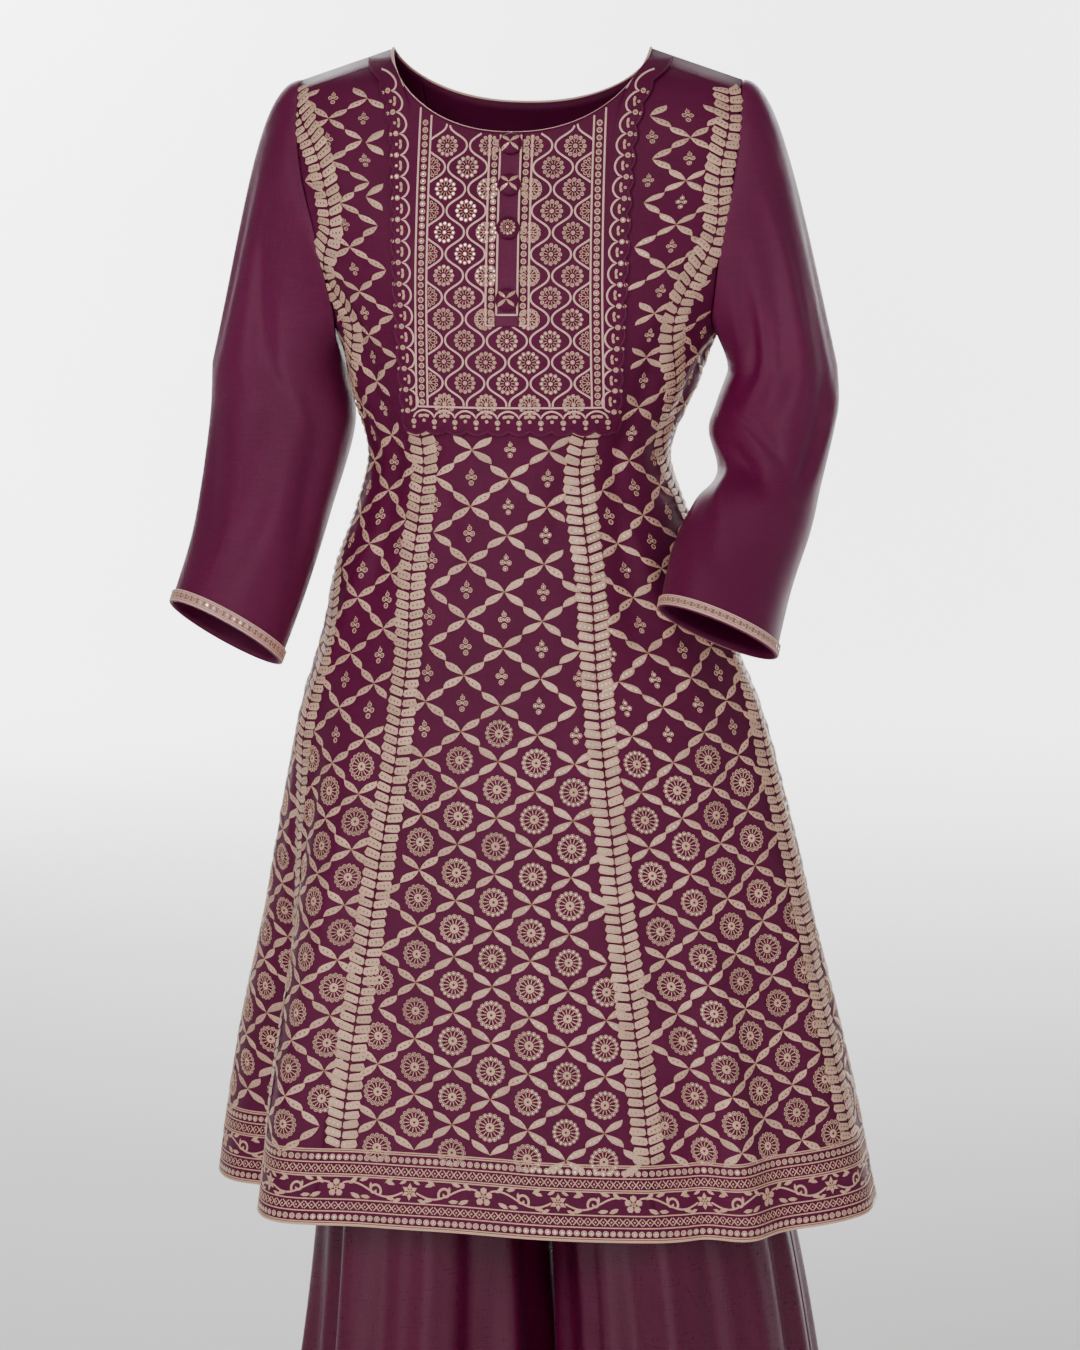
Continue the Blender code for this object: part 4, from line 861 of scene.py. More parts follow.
def fromBand(band, angle, level):
    # the distance across the cloth from a band's line, far away beyond its ends
    at = np.interp(level, band["level"][::-1], band["angle"][::-1])
    step = np.interp(level, band["level"][::-1], band["stepAngle"][::-1])
    away = np.abs(angle - at) / step
    return np.where((level < band["level"].min()) | (level > band["level"].max()), 1.0, away)


bandLines = {
    "innerLeft": [(-34.3, 1.03), (-34, 1.058), (-28.5, 1.24), (-24.5, 1.417), (-25, 1.56), (-25.8, 1.825),
                  (-26, 1.91), (-27, 2)],
    "innerRight": [(29, 1.02), (28, 1.057), (26.5, 1.242), (25.5, 1.407), (26.5, 1.547), (28, 1.728),
                   (29, 1.908), (29.5, 2)],
    "outerLeft": [(-79.2, 0.097), (-53, 0.277), (-48.5, 0.423), (-49.5, 0.513), (-62, 0.695), (-59.8, 0.782),
                  (-67, 0.917), (-82.5, 1.042), (-84, 1.143), (-67.2, 1.26), (-63, 1.452), (-60.8, 1.572),
                  (-52, 1.7), (-47.5, 1.783), (-46, 1.9), (-45, 2.0)],
    "outerRight": [(64, 0.107), (53.2, 0.327), (54.8, 0.573), (51, 0.717), (52, 0.80), (61.5, 0.96),
                   (68.5, 1.038), (73, 1.067), (82, 1.118), (85.5, 1.17), (79.8, 1.472), (80.5, 1.57),
                   (79.2, 1.69), (78, 1.797), (78.5, 1.902), (79, 2.0)],
    "backInnerLeft": [(-147.6, 0.35), (-147.6, 1.0), (-148, 1.15), (-154, 1.45), (-150, 2.0)],
    "backInnerRight": [(147.6, 0.35), (147.6, 1.0), (148, 1.15), (154, 1.45), (150, 2.0)],
    "backOuterLeft": [(-118, 0.28), (-124, 0.5), (-120, 0.8), (-112, 1.1), (-110, 1.5), (-108, 2.0)],
    "backOuterRight": [(118, 0.28), (124, 0.5), (120, 0.8), (112, 1.1), (110, 1.5), (108, 2.0)],
}
bands = {name: bandPath(line) for name, line in bandLines.items()}
ladder = {"pitch": 0.0083, "lift": 0.0008, "half": 0.0150}
border = {"tall": 0.0665, "clear": 0.004}
lattice = {"across": 0.0327, "up": 0.0480, "squeeze": 0.80, "lift": 0.0001}
yokeForm = {"z": (-0.0105, -0.030, -0.060, -0.110, -0.200, -0.322),
            "half": (0.131, 0.116, 0.105, 0.100, 0.096, 0.089),
            "top": -0.0105, "bottom": -0.322, "scallop": 0.0035, "sideScallops": 17, "bottomScallops": 10,
            "lift": 0.0013, "wall": 0.0012}

sequin = together((discMotif(1.0, 0.82), 0, 0, 0, 1), (discMotif(0.5, 0.9, 5, darkPlace), 0.1, 0, 0, 1))
leaf = leafMotif([(0, 0), (6.1, 1.9), (11.3, 4.0), (14.8, 6.3), (16.2, 8.9), (16.5, 11.9)],
                 [(0, 0), (2.6, 4.4), (6.1, 8.1), (10.4, 10.3), (13.9, 11.4), (16.5, 12.4)], 0.8)
leaf = together((leaf, 0, 0, 0, 1), (sequin, 4.6, 4.0, 0, 0.9), (sequin, 8.6, 6.4, 0, 1), (sequin, 12.4, 8.3, 0, 0.9))
eyelet = together((ringMotif(2.05, 1.35, 0.55, 7, threadPlace), 0, 0, 0, 1), (discMotif(0.85, 0.45), 0, 0, 0, 1))
loop = together((ringMotif(2.3, 1.45, 0.6, 8, threadPlace), 0, 0, 0, 1), (discMotif(0.9, 0.5), 0, 0, 0, 1))
spoke = leafMotif([(4.4, -0.36), (8.4, -0.36)], [(4.4, 0.36), (8.4, 0.36)], 0.5)
rosette = together(
    (ringMotif(3.9, 1.1, 0.75, 12, threadPlace), 0, 0, 0, 1), (discMotif(1.15, 0.45, 6, darkPlace), 0, 0, 0, 1),
    *[(spoke, 0, 0, a * 360 / 14, 1) for a in range(14)],
    *[(eyelet, 10.3 * math.cos(a * math.pi / 8), 10.3 * math.sin(a * math.pi / 8), a * 22.5, 1) for a in range(16)])
buti = together((loop, 0, 4.8, 0, 0.95), (loop, -2.9, 0.7, 20, 1), (loop, 2.9, 0.6, 40, 1), (loop, 0.1, -4.4, 10, 1.05),
                (discMotif(1.1, 0.5, 6, threadPlace), 0, 0.6, 0, 1), (discMotif(0.6, 0.5, 5, threadPlace), -0.4, 7.6, 0, 1))
rung = leafMotif([(0.4, 1.6), (1.8, 0.1), (7.5, 1.0), (12.6, 2.2), (14.2, 4.8)],
                 [(0.4, 1.6), (0.9, 5.9), (6.5, 7.6), (12.2, 8.9), (14.2, 4.8)], 0.85)
rung = together((rung, 0, 0, 0, 1), (sequin, 3.8, 3.5, 0, 0.9), (sequin, 7.3, 4.4, 0, 1), (sequin, 10.8, 5.3, 0, 0.9))


def ladderBand(work, band, top=0.0):
    b = np.arange(border["tall"] + 0.001, band["b"][-1] - 0.010 - top, ladder["pitch"])
    for mirror in (1.0, -1.0):
        stamp(work, rung, onBand(band), np.zeros(len(b)), b, mirror=mirror, lift=ladder["lift"])


def armholeEdge(z):
    # x of the armhole's edge at a height
    keep = slice(0, 7)
    return np.interp(-z, -np.array(armhole["z"][keep]), np.array(armhole["x"][keep]))


def clearOfEdges(angle, level, margin):
    # inside the neckline, the shoulder seam and the armholes by a margin
    point = clothForm(angle, level)
    x, z = np.abs(point[..., 0] - kurtaValue(point[..., 2], "shift")), point[..., 2]
    face = np.where(np.cos(np.radians(angle)) > 0, kurta["neckDepth"]["front"], kurta["neckDepth"]["back"])
    inside = np.clip(x / kurta["neckHalf"], 0, 1)
    neckZ = -face * (1 - inside ** kurta["neckPower"]) ** (1 / kurta["neckRoot"])
    tipX, tipZ = armhole["x"][0], armhole["z"][0]
    seamZ = tipZ * np.clip((x - kurta["neckHalf"]) / (tipX - kurta["neckHalf"]), 0, 1)
    top = np.where(x < kurta["neckHalf"], neckZ, seamZ)
    hole = np.where(z > armhole["z"][-1], x < armholeEdge(z) - margin, True)
    return (z < top - margin) & hole


def clearOfYoke(angle, level, margin):
    point = clothForm(angle, level)
    x, z = point[..., 0], point[..., 2]
    half = smoothValue(z, yokeForm["z"], yokeForm["half"]) + yokeForm["scallop"] + margin
    under = (np.abs(x) < half) & (z > yokeForm["bottom"] - yokeForm["scallop"] - margin)
    return ~(under & (np.cos(np.radians(angle)) > 0))


def bandWeave(work, chart, region, phase, near, rosetteTop, stagger=0.0):
    # the trellis of leaves over one region, with butis above and rosettes below in its cells
    i, j = np.meshgrid(np.arange(-9, 10), np.arange(0, 44))
    s = i * lattice["across"]
    t = j * lattice["up"] / 2 + phase
    nodes = (i + j) % 2 == 0
    place = lambda a, b, h: onCloth(*chartPlace(chart, a, b), h)

    def fits(s, t, margin):
        angle, level = chartPlace(chart, s, t)
        return (region(angle, level) & clearOfEdges(angle, level, margin) & clearOfYoke(angle, level, margin)
                & (hemDistance(angle, level) > border["tall"] - 0.004)
                & (t < chart["t"][0] - 0.001))

    for right in (1.0, -1.0):
        for up in (1.0, -1.0):
            middleS, middleT = s[nodes] + right * 0.009, t[nodes] + up * 0.006
            keep = fits(middleS, middleT, 0.006)
            for band in near:
                keep &= fromBand(band, *chartPlace(chart, middleS, middleT)) > ladder["half"] - 0.004
            # a leaf turned upside down is the mirrored one turned by half a turn
            stamp(work, leaf, place, s[nodes][keep], t[nodes][keep], turn=0.0 if up > 0 else math.pi,
                  mirror=right * up, lift=lattice["lift"])
    cells = ~nodes
    keep = fits(s[cells], t[cells], 0.008)
    for band in near:
        keep &= fromBand(band, *chartPlace(chart, s[cells], t[cells])) > ladder["half"] - 0.002
    s, t = s[cells][keep], t[cells][keep]
    low = t < rosetteTop - np.abs(s) * stagger + 0.006
    stamp(work, rosette, place, s[low], t[low], lift=lattice["lift"])
    stamp(work, buti, place, s[~low], t[~low], lift=lattice["lift"])


hemTable = {"angle": np.linspace(-180, 180, 1441)}
hemLine = clothForm(hemTable["angle"], np.full(1441, 2.0))
hemTable["s"] = np.concatenate([[0], np.cumsum(np.linalg.norm(np.diff(hemLine, axis=0), axis=1))])
hemTable["s"] -= np.interp(0, hemTable["angle"], hemTable["s"])
hemTable["drop"] = np.linalg.norm(clothForm(hemTable["angle"], 2.0) - clothForm(hemTable["angle"], 1.98), axis=-1) / 0.02
hemRound = hemTable["s"][-1] - hemTable["s"][0]


def hemDistance(angle, level):
    return (2 - level) * np.interp((angle + 180) % 360 - 180, hemTable["angle"], hemTable["drop"])


def onHem(s, d, h):
    s = (s - hemTable["s"][0]) % hemRound + hemTable["s"][0]
    angle = np.interp(s, hemTable["s"], hemTable["angle"])
    return onCloth(angle, 2 - d / np.interp(angle, hemTable["angle"], hemTable["drop"]), h)


def seamMiddle(first, second):
    # a line midway between two bands, smoothed over the levels where both run
    levels = np.linspace(0, 2, 41)
    ends = [np.interp(levels, b["level"][::-1], b["angle"][::-1]) for b in (first, second)]
    even = np.convolve(np.pad((ends[0] + ends[1]) / 2, 5, mode="edge"), np.ones(11) / 11, "valid")
    return lambda level: np.interp(level, levels, even)


def between(first, second):
    def region(angle, level):
        low = np.interp(level, first["level"][::-1], first["angle"][::-1]) if isinstance(first, dict) else first
        high = np.interp(level, second["level"][::-1], second["angle"][::-1]) if isinstance(second, dict) else second
        return (angle > low) & (angle < high)
    return region


centreChart = makeChart(lambda level: 1.0 + 0 * level)
leftChart = makeChart(seamMiddle(bands["outerLeft"], bands["innerLeft"]), lattice["squeeze"])
rightChart = makeChart(seamMiddle(bands["innerRight"], bands["outerRight"]), lattice["squeeze"])
firstRosette = float(np.interp(1.402, centreChart["levels"], centreChart["t"]))
centrePhase = firstRosette % (lattice["up"] / 2) - lattice["up"] / 2 * 0
# the column in the middle has its rosette where the landmark is, so the rows are counted to suit
rowsDown = round((firstRosette - centrePhase) / (lattice["up"] / 2))
centrePhase += 0 if rowsDown % 2 else lattice["up"] / 2 - lattice["up"]

work = newStitching()
stagger = lattice["up"] / 2 / lattice["across"]
sideTop = firstRosette - 0.022
bandWeave(work, centreChart, between(bands["innerLeft"], bands["innerRight"]), centrePhase,
          (bands["innerLeft"], bands["innerRight"]), firstRosette, stagger)
bandWeave(work, leftChart, between(-92, bands["innerLeft"]), 0.013, (bands["innerLeft"], bands["outerLeft"]), sideTop)
finishStitching("latticeFrontLeft", work)
work = newStitching()
bandWeave(work, rightChart, between(bands["innerRight"], 92), 0.004, (bands["innerRight"], bands["outerRight"]),
          sideTop)
finishStitching("latticeFrontRight", work)
backCentre = makeChart(lambda level: 180.0 + 0 * level)
backLeft = makeChart(lambda level: -119.0 + 0 * level, lattice["squeeze"])
backRight = makeChart(lambda level: 119.0 + 0 * level, lattice["squeeze"])
work = newStitching()
bandWeave(work, backLeft, between(bands["backInnerLeft"], -88), 0.008, (bands["backInnerLeft"], bands["backOuterLeft"]),
          sideTop)
bandWeave(work, backRight, between(88, bands["backInnerRight"]), 0.008,
          (bands["backInnerRight"], bands["backOuterRight"]), sideTop)
finishStitching("latticeBackSides", work)
work = newStitching()
fullTurn = {name: dict(bands[name]) for name in ("backInnerLeft", "backInnerRight")}
fullTurn["backInnerLeft"]["angle"] = bands["backInnerLeft"]["angle"] + 360
bandWeave(work, backCentre, between(fullTurn["backInnerRight"], fullTurn["backInnerLeft"]), 0.012,
          (fullTurn["backInnerRight"], fullTurn["backInnerLeft"]), firstRosette, stagger)
finishStitching("latticeBackCentre", work)
work = newStitching()
for band in bands.values():
    ladderBand(work, band)
finishStitching("ladderBands", work)
print("trellis and ladder bands stitched")


# the hem border, measured up from the hem

hemBorder = {
    "lines": (0.0655, 0.0638, 0.0545, 0.0444, 0.0426, 0.0226, 0.0122, 0.0028), "lineWidth": 0.0011,
    "ringRows": (0.0590, 0.0070), "ringPitch": 0.0062, "meshRows": ((0.0493, 7.6), (0.0172, 7.0)),
    "meshPitch": 0.0067, "scroll": 0.0326, "period": 0.135, "piping": 0.0009,
}
work = newStitching()
steps = 560
around = hemTable["s"][0] + np.arange(steps) * hemRound / steps
for d in hemBorder["lines"]:
    ribbon(work, onHem, np.stack([around, np.full(steps, d)], -1), hemBorder["lineWidth"], 0.0006, threadPlace, closed=True)
ring = together((ringMotif(2.6, 1.5, 0.6, 10, threadPlace), 0, 0, 0, 1), (discMotif(1.3, 0.35), 0, 0, 0, 1))
count = round(hemRound / hemBorder["ringPitch"])
s = np.arange(count) * hemRound / count
for d in hemBorder["ringRows"]:
    stamp(work, ring, onHem, s, np.full(count, d), loose=0.4)
stroke = leafMotif([(-4.2, -0.45), (4.2, -0.45)], [(-4.2, 0.45), (4.2, 0.45)], 0.5)
count = round(hemRound / hemBorder["meshPitch"])
s = np.arange(count) * hemRound / count
for d, tall in hemBorder["meshRows"]:
    lean = math.atan2(tall, 6.2)
    cross = together((stroke, 0, 0, math.degrees(lean), 1), (stroke, 0, 0, -math.degrees(lean), 1),
                     (discMotif(0.9, 0.6, 6, threadPlace), 3.3, 0, 0, 1))
    stamp(work, cross, onHem, s, np.full(count, d), loose=0.4)

petal = leafMotif([(1.5, 0), (4.0, -2.6), (6.6, -2.6), (8.0, 0)], [(1.5, 0), (4.0, 2.6), (6.6, 2.6), (8.0, 0)], 0.9)
pointed = leafMotif([(1.2, 0), (3.6, -1.9), (7.4, 0)], [(1.2, 0), (3.6, 1.9), (7.4, 0)], 0.9)
flowerA = together(*[(petal, 0, 0, 90 + a * 72, 1) for a in range(5)], (ringMotif(1.9, 0.7, 0.9, 8, threadPlace), 0, 0, 0, 1))
flowerB = together(*[(pointed, 0, 0, 90 + a * 60, 1) for a in range(6)], (ringMotif(1.6, 0.6, 0.9, 8, threadPlace), 0, 0, 0, 1))
blade = leafMotif([(0, 0), (3.0, -1.7), (7.5, -1.2), (10.5, 1.2)], [(0, 0), (2.4, 1.6), (6.6, 2.6), (10.5, 1.2)], 0.8)
turn = np.linspace(0, 2.2 * math.pi, 26)
spiral = np.stack([(6.2 - 0.78 * turn) * np.cos(turn - 0.6), (6.2 - 0.78 * turn) * np.sin(turn - 0.6)], -1)
tail = np.stack([np.linspace(-14, 0, 8), -5.6 + 2.0 * np.sin(np.linspace(0, 3.0, 8))], -1)
repeats = round(hemRound / hemBorder["period"])
starts = np.arange(repeats) * hemRound / repeats
middle = np.full(repeats, hemBorder["scroll"])
stamp(work, flowerA, onHem, starts, middle, size=1.02, loose=0.4)
stamp(work, flowerB, onHem, starts + hemRound / repeats / 2, middle, size=1.05, loose=0.4)
vineShare = np.linspace(0.09, 0.91, 34)
for start in starts:
    for hand in (1.0, -1.0):
        reach = hemRound / repeats / 2
        base = start if hand > 0 else start + 2 * reach
        path = np.stack([base + hand * vineShare * reach,
                         hemBorder["scroll"] + 0.0056 * np.sin(vineShare * 2 * math.pi * 1.0 + 0.4)], -1)
        ribbon(work, onHem, path, 0.0016, 0.0007, threadPlace)
        curl = np.stack([base + hand * (0.034 + spiral[:, 0] * 0.001), hemBorder["scroll"] - 0.0005 + spiral[:, 1] * 0.001], -1)
        ribbon(work, onHem, curl, 0.0021, 0.0009, threadPlace)
for along, up, lean, grow in ((0.011, 0.004, 35, 0.9), (0.013, -0.004, -30, 0.95), (0.020, 0.007, 10, 0.85),
                              (0.022, -0.006, -12, 0.85), (0.043, 0.006, 28, 0.85), (0.044, -0.005, -24, 0.9),
                              (0.052, 0.005, 160, 0.8), (0.058, -0.0065, 200, 0.8), (0.030, 0.0005, 80, 0.55),
                              (0.056, 0.0062, 20, 0.7)):
    for hand in (1.0, -1.0):
        base = starts if hand > 0 else starts + hemRound / repeats
        stamp(work, blade, onHem, base + hand * along, middle + up, turn=hand * math.radians(lean), size=grow,
              mirror=hand, loose=0.6)
ribbon(work, onHem, np.stack([around, np.full(steps, 0.0006)], -1), 0.0022, hemBorder["piping"], threadPlace, closed=True)
finishStitching("hemBorder", work)
print("hem border stitched")


# the yoke, placket, buttons and piping


def yokeHalf(z):
    return smoothValue(z, yokeForm["z"], yokeForm["half"])


def necklineZ(x):
    inside = np.clip(np.abs(x) / kurta["neckHalf"], 0, 1)
    return -kurta["neckDepth"]["front"] * (1 - inside ** kurta["neckPower"]) ** (1 / kurta["neckRoot"])


def onYoke(x, z, h):
    # a place on the yoke's outer face, x and z in metres as seen from the front
    angle, level = placeAt(x, z)
    return onCloth(angle, level, np.asarray(h) + yokeForm["lift"] + yokeForm["wall"])


yokeGrid = {"columns": 91, "rows": 104}
share, row = np.meshgrid(np.linspace(-1, 1, yokeGrid["columns"]), np.linspace(0, 1, yokeGrid["rows"]))
topZ = np.full(yokeGrid["columns"], yokeForm["top"])
for _ in range(40):
    reach = np.abs(share[0]) * yokeHalf(topZ)
    topZ = 0.5 * topZ + 0.5 * np.minimum(necklineZ(reach) - 0.0003, yokeForm["top"])
bottomZ = yokeForm["bottom"] - yokeForm["scallop"] * np.abs(
    np.sin(math.pi * yokeForm["bottomScallops"] * (share[0] + 1) / 2))
z = topZ + (bottomZ - topZ) * row
down = (z - yokeForm["top"]) / (yokeForm["bottom"] - yokeForm["top"])
x = share * yokeHalf(z) + np.sign(share) * np.abs(share) ** 24 * yokeForm["scallop"] * np.abs(
    np.sin(math.pi * yokeForm["sideScallops"] * np.clip(down, 0, 1)))
points = onYoke(x, z, np.zeros_like(x))
made = makePiece("yokeCloth", points, gridFaces(*points.shape[:2], False), [finishes["kurtaCloth"]],
                 ("yoke",), yokeForm["wall"], uv=np.stack([x, z], -1))

yokeWork = {  # half widths and heights in metres, as seen from the front
    "bandOuter": 0.0783, "bandRing": 0.0735, "bandInner": 0.0687, "fieldBottom": -0.3010, "ringPitch": 0.00612,
    "column": 0.01795, "rowPitch": 0.0358, "firstRow": -0.2447, "swing": 0.0077,
    "placketLine": 0.0179, "placketRing": 0.0132, "placketInner": 0.0086,
    "placketBottom": -0.2320, "placketRingBottom": -0.2279, "placketInnerBottom": -0.2232,
    "cordIn": 0.0135, "cordOut": 0.0070, "scallopPitch": 0.0178, "cordWidth": 0.0016, "cordHeight": 0.0010,
}
work = newStitching()


def line(points, width=yokeWork["cordWidth"], material=cordPlace, lift=0.0):
    # a straight run between points, stepped finely so that it follows the cloth
    points = np.array(points, float)
    parts = []
    for a, b in zip(points[:-1], points[1:]):
        steps = max(3, int(np.linalg.norm(b - a) / 0.0025))
        parts.append(a + (b - a) * np.linspace(0, 1, steps)[:-1, None])
    ribbon(work, onYoke, np.concatenate([*parts, points[-1:]]), width, yokeWork["cordHeight"], material, lift)


def topAt(x):
    return float(necklineZ(np.array(x))) - 0.0035


bandTop = topAt(yokeWork["bandRing"])
for name in ("bandOuter", "bandInner"):
    half = yokeWork[name]
    bottom = yokeWork["fieldBottom"]
    for side in (-1, 1):
        line([(side * half, topAt(half)), (side * half, bottom)])
line([(-yokeWork["bandOuter"], yokeWork["fieldBottom"]), (yokeWork["bandOuter"], yokeWork["fieldBottom"])])
bandEyelet = together((ringMotif(2.55, 1.35, 0.8, 10, threadPlace), 0, 0, 0, 1), (discMotif(0.75, 0.5), 0, 0, 0, 1))
rows = np.arange(yokeWork["fieldBottom"] + 0.004, bandTop - 0.003, yokeWork["ringPitch"])
for side in (-1, 1):
    stamp(work, bandEyelet, onYoke, np.full(len(rows), side * yokeWork["bandRing"]), rows, loose=0.5)

# the field: waves in turn, pinched and wide, with a rosette in each cell
smallSpoke = leafMotif([(3.0, -0.28), (6.3, -0.28)], [(3.0, 0.28), (6.3, 0.28)], 0.5)
yokeRosette = together(
    (ringMotif(1.9, 0.9, 0.8, 8, threadPlace), 0, 0, 0, 1), (discMotif(0.9, 0.5), 0, 0, 0, 1),
    *[(smallSpoke, 0, 0, 15 + a * 30, 1) for a in range(12)],
    *[(ringMotif(1.75, 0.95, 0.6, 7, threadPlace), 7.6 * math.cos(a * math.pi / 6), 7.6 * math.sin(a * math.pi / 6), 0, 1)
      for a in range(12)],
    *[(discMotif(0.8, 0.3, 5), 7.6 * math.cos(a * math.pi / 6), 7.6 * math.sin(a * math.pi / 6), 0, 1)
      for a in range(12)])


def inField(x, z, margin):
    # inside the band, under the neckline and clear of the placket
    free = (np.abs(x) < yokeWork["bandInner"] - margin * 0.1) & (z > yokeWork["fieldBottom"] + margin * 0.1)
    free &= z < necklineZ(x) - 0.003 - margin * 0.4
    return free & ~((np.abs(x) < yokeWork["placketLine"]) & (z > yokeWork["placketBottom"] - margin * 0.1))


for k in range(-4, 4):
    middle = (k + 0.5) * yokeWork["column"]
    z = np.arange(yokeWork["fieldBottom"], -0.045, 0.0013)
    swing = np.cos(2 * math.pi * (z - yokeWork["firstRow"]) / yokeWork["rowPitch"])
    swing = swing * (1.18 - 0.18 * swing**2) * (1 if k % 2 == 0 else -1)
    x = middle + yokeWork["swing"] * swing
    free = inField(x, z, 0.0)
    breaks = np.flatnonzero(np.diff(free.astype(int))) + 1
    for piece in np.split(np.arange(len(z)), breaks):
        if free[piece[0]] and len(piece) > 4:
            ribbon(work, onYoke, np.stack([x[piece], z[piece]], -1), yokeWork["cordWidth"], yokeWork["cordHeight"], cordPlace)
spots = []
for k in range(-4, 5):
    for r in range(-3, 7):
        z = yokeWork["firstRow"] + (r + (0.5 if k % 2 else 0)) * yokeWork["rowPitch"]
        spots.append((k * yokeWork["column"], z))
spots = np.array(spots)
wholes = inField(spots[:, 0], spots[:, 1], 0.012) & (np.abs(spots[:, 0]) < 0.064)
stamp(work, yokeRosette, onYoke, spots[wholes, 0], spots[wholes, 1], loose=0.6)
# half rosettes where a line cuts them
fan = lambda low, high: together(
    *[(smallSpoke, 0, 0, a, 1) for a in range(low, high + 1, 30)],
    *[(ringMotif(1.75, 0.95, 0.6, 7, threadPlace), 7.6 * math.cos(math.radians(a)), 7.6 * math.sin(math.radians(a)), 0, 1)
      for a in range(low, high + 1, 30)],
    (ringMotif(1.7, 0.8, 0.7, 8, threadPlace), 1.6 * math.cos(math.radians((low + high) / 2)),
     1.6 * math.sin(math.radians((low + high) / 2)), 0, 1))
for side, shape in ((-1, fan(-75, 75)), (1, fan(105, 255))):
    edge = spots[(np.abs(spots[:, 0] - side * 4 * yokeWork["column"]) < 0.001)]
    edge = edge[(edge[:, 1] < bandTop - 0.012) & (edge[:, 1] > yokeWork["fieldBottom"] + 0.006)]
    stamp(work, shape, onYoke, np.full(len(edge), side * (yokeWork["bandInner"] - 0.0012)), edge[:, 1], loose=0.4, size=0.9)
    inner = spots[np.abs(spots[:, 0] + side * yokeWork["column"]) < 0.001]
    inner = inner[(inner[:, 1] > yokeWork["placketBottom"]) & (inner[:, 1] < topAt(0.02) - 0.010)]
    stamp(work, shape, onYoke, np.full(len(inner), -side * (yokeWork["placketLine"] + 0.0006)), inner[:, 1],
          loose=0.4, size=0.95)
base = spots[np.abs(spots[:, 1] - (yokeWork["firstRow"] - 1.5 * yokeWork["rowPitch"])) < 0.001]
base = base[np.abs(base[:, 0]) < 0.06]
stamp(work, fan(15, 165), onYoke, base[:, 0], np.full(len(base), yokeWork["fieldBottom"] + 0.0016), loose=0.4, size=0.95)

# the placket's frame
for name, low in (("placketLine", "placketBottom"), ("placketInner", "placketInnerBottom")):
    half = yokeWork[name]
    lift = 0.0016 if name == "placketInner" else 0.0
    line([(-half, topAt(half)), (-half, yokeWork[low]), (half, yokeWork[low]), (half, topAt(half))], lift=lift)
rows = np.arange(yokeWork["placketRingBottom"], topAt(yokeWork["placketRing"]) - 0.002, yokeWork["ringPitch"])
for side in (-1, 1):
    stamp(work, bandEyelet, onYoke, np.full(len(rows), side * yokeWork["placketRing"]), rows, loose=0.5)
across = np.linspace(-yokeWork["placketRing"], yokeWork["placketRing"], 5)[1:-1]
stamp(work, bandEyelet, onYoke, across, np.full(3, yokeWork["placketRingBottom"]), loose=0.3)

# scalloped cords with their drops down the sides and along the bottom
drop = together((ringMotif(2.5, 1.2, 0.8, 9, threadPlace), 0, 0, 0, 1), (discMotif(1.1, 0.5), 0, 0, 0, 1),
                (ringMotif(1.7, 0.8, 0.7, 7, threadPlace), 0, -5.0, 0, 1), (discMotif(0.7, 0.4, 5), 0, -5.0, 0, 1))
bud = leafMotif([(0, 0), (2.6, -1.6), (5.2, -1.0)], [(0, 0), (1.6, 1.6), (5.2, 1.4)], 0.9)
budPair = together((bud, 0, 0.4, -15, 0.9), (bud, 0, 0.4, 195, 0.9), (bud, 0, 1.4, -60, 0.55), (bud, 0, 1.4, 240, 0.55),
                   (ringMotif(1.6, 0.7, 0.7, 7, threadPlace), 0, -4.4, 0, 1), (discMotif(0.7, 0.4, 5), 0, -4.4, 0, 1))
levels = np.arange(yokeWork["fieldBottom"] - 0.004, yokeForm["top"] - 0.014, yokeWork["scallopPitch"])
share = np.linspace(0, 1, 14)
for side in (-1, 1):
    path = []
    for low in levels:
        z = low + share * yokeWork["scallopPitch"]
        edge = yokeHalf(np.minimum(z, yokeForm["top"]))
        bulge = np.sin(math.pi * share) ** 0.6
        path.append(np.stack([side * (edge - yokeWork["cordOut"] - (yokeWork["cordIn"] - yokeWork["cordOut"]) * bulge), z], -1))
    ribbon(work, onYoke, np.concatenate([p[:-1] for p in path] + [path[-1][-1:]]), yokeWork["cordWidth"],
           yokeWork["cordHeight"], cordPlace)
    slope = (yokeHalf(levels + 0.004) - yokeHalf(levels - 0.004)) / 0.008
    lean = side * (math.pi / 2 - np.arctan(slope) * 1.0)
    stamp(work, drop, onYoke, side * (yokeHalf(levels) - 0.0035), levels, turn=lean, size=0.92, loose=0.4)
    half = levels[:-1] + yokeWork["scallopPitch"] / 2
    stamp(work, budPair, onYoke, side * (yokeHalf(half) - 0.0072), half, turn=side * math.pi / 2, size=0.85, loose=0.4)
arches = 9
pitch = 2 * (yokeWork["bandOuter"] + 0.003) / arches
cordZ = yokeWork["fieldBottom"] - 0.0022
path = []
for k in range(arches):
    x = -(yokeWork["bandOuter"] + 0.003) + (k + share) * pitch
    path.append(np.stack([x, cordZ - 0.0070 + 0.0062 * np.sin(math.pi * share) ** 0.6], -1))
ribbon(work, onYoke, np.concatenate([p[:-1] for p in path] + [path[-1][-1:]]), yokeWork["cordWidth"], yokeWork["cordHeight"], cordPlace)
cusps = -(yokeWork["bandOuter"] + 0.003) + np.arange(arches + 1) * pitch
stamp(work, drop, onYoke, cusps, np.full(arches + 1, cordZ - 0.0107), loose=0.3, size=0.95)
stamp(work, budPair, onYoke, cusps[:-1] + pitch / 2, np.full(arches, cordZ - 0.0052), loose=0.3)
finishStitching("yokeEmbroidery", work)

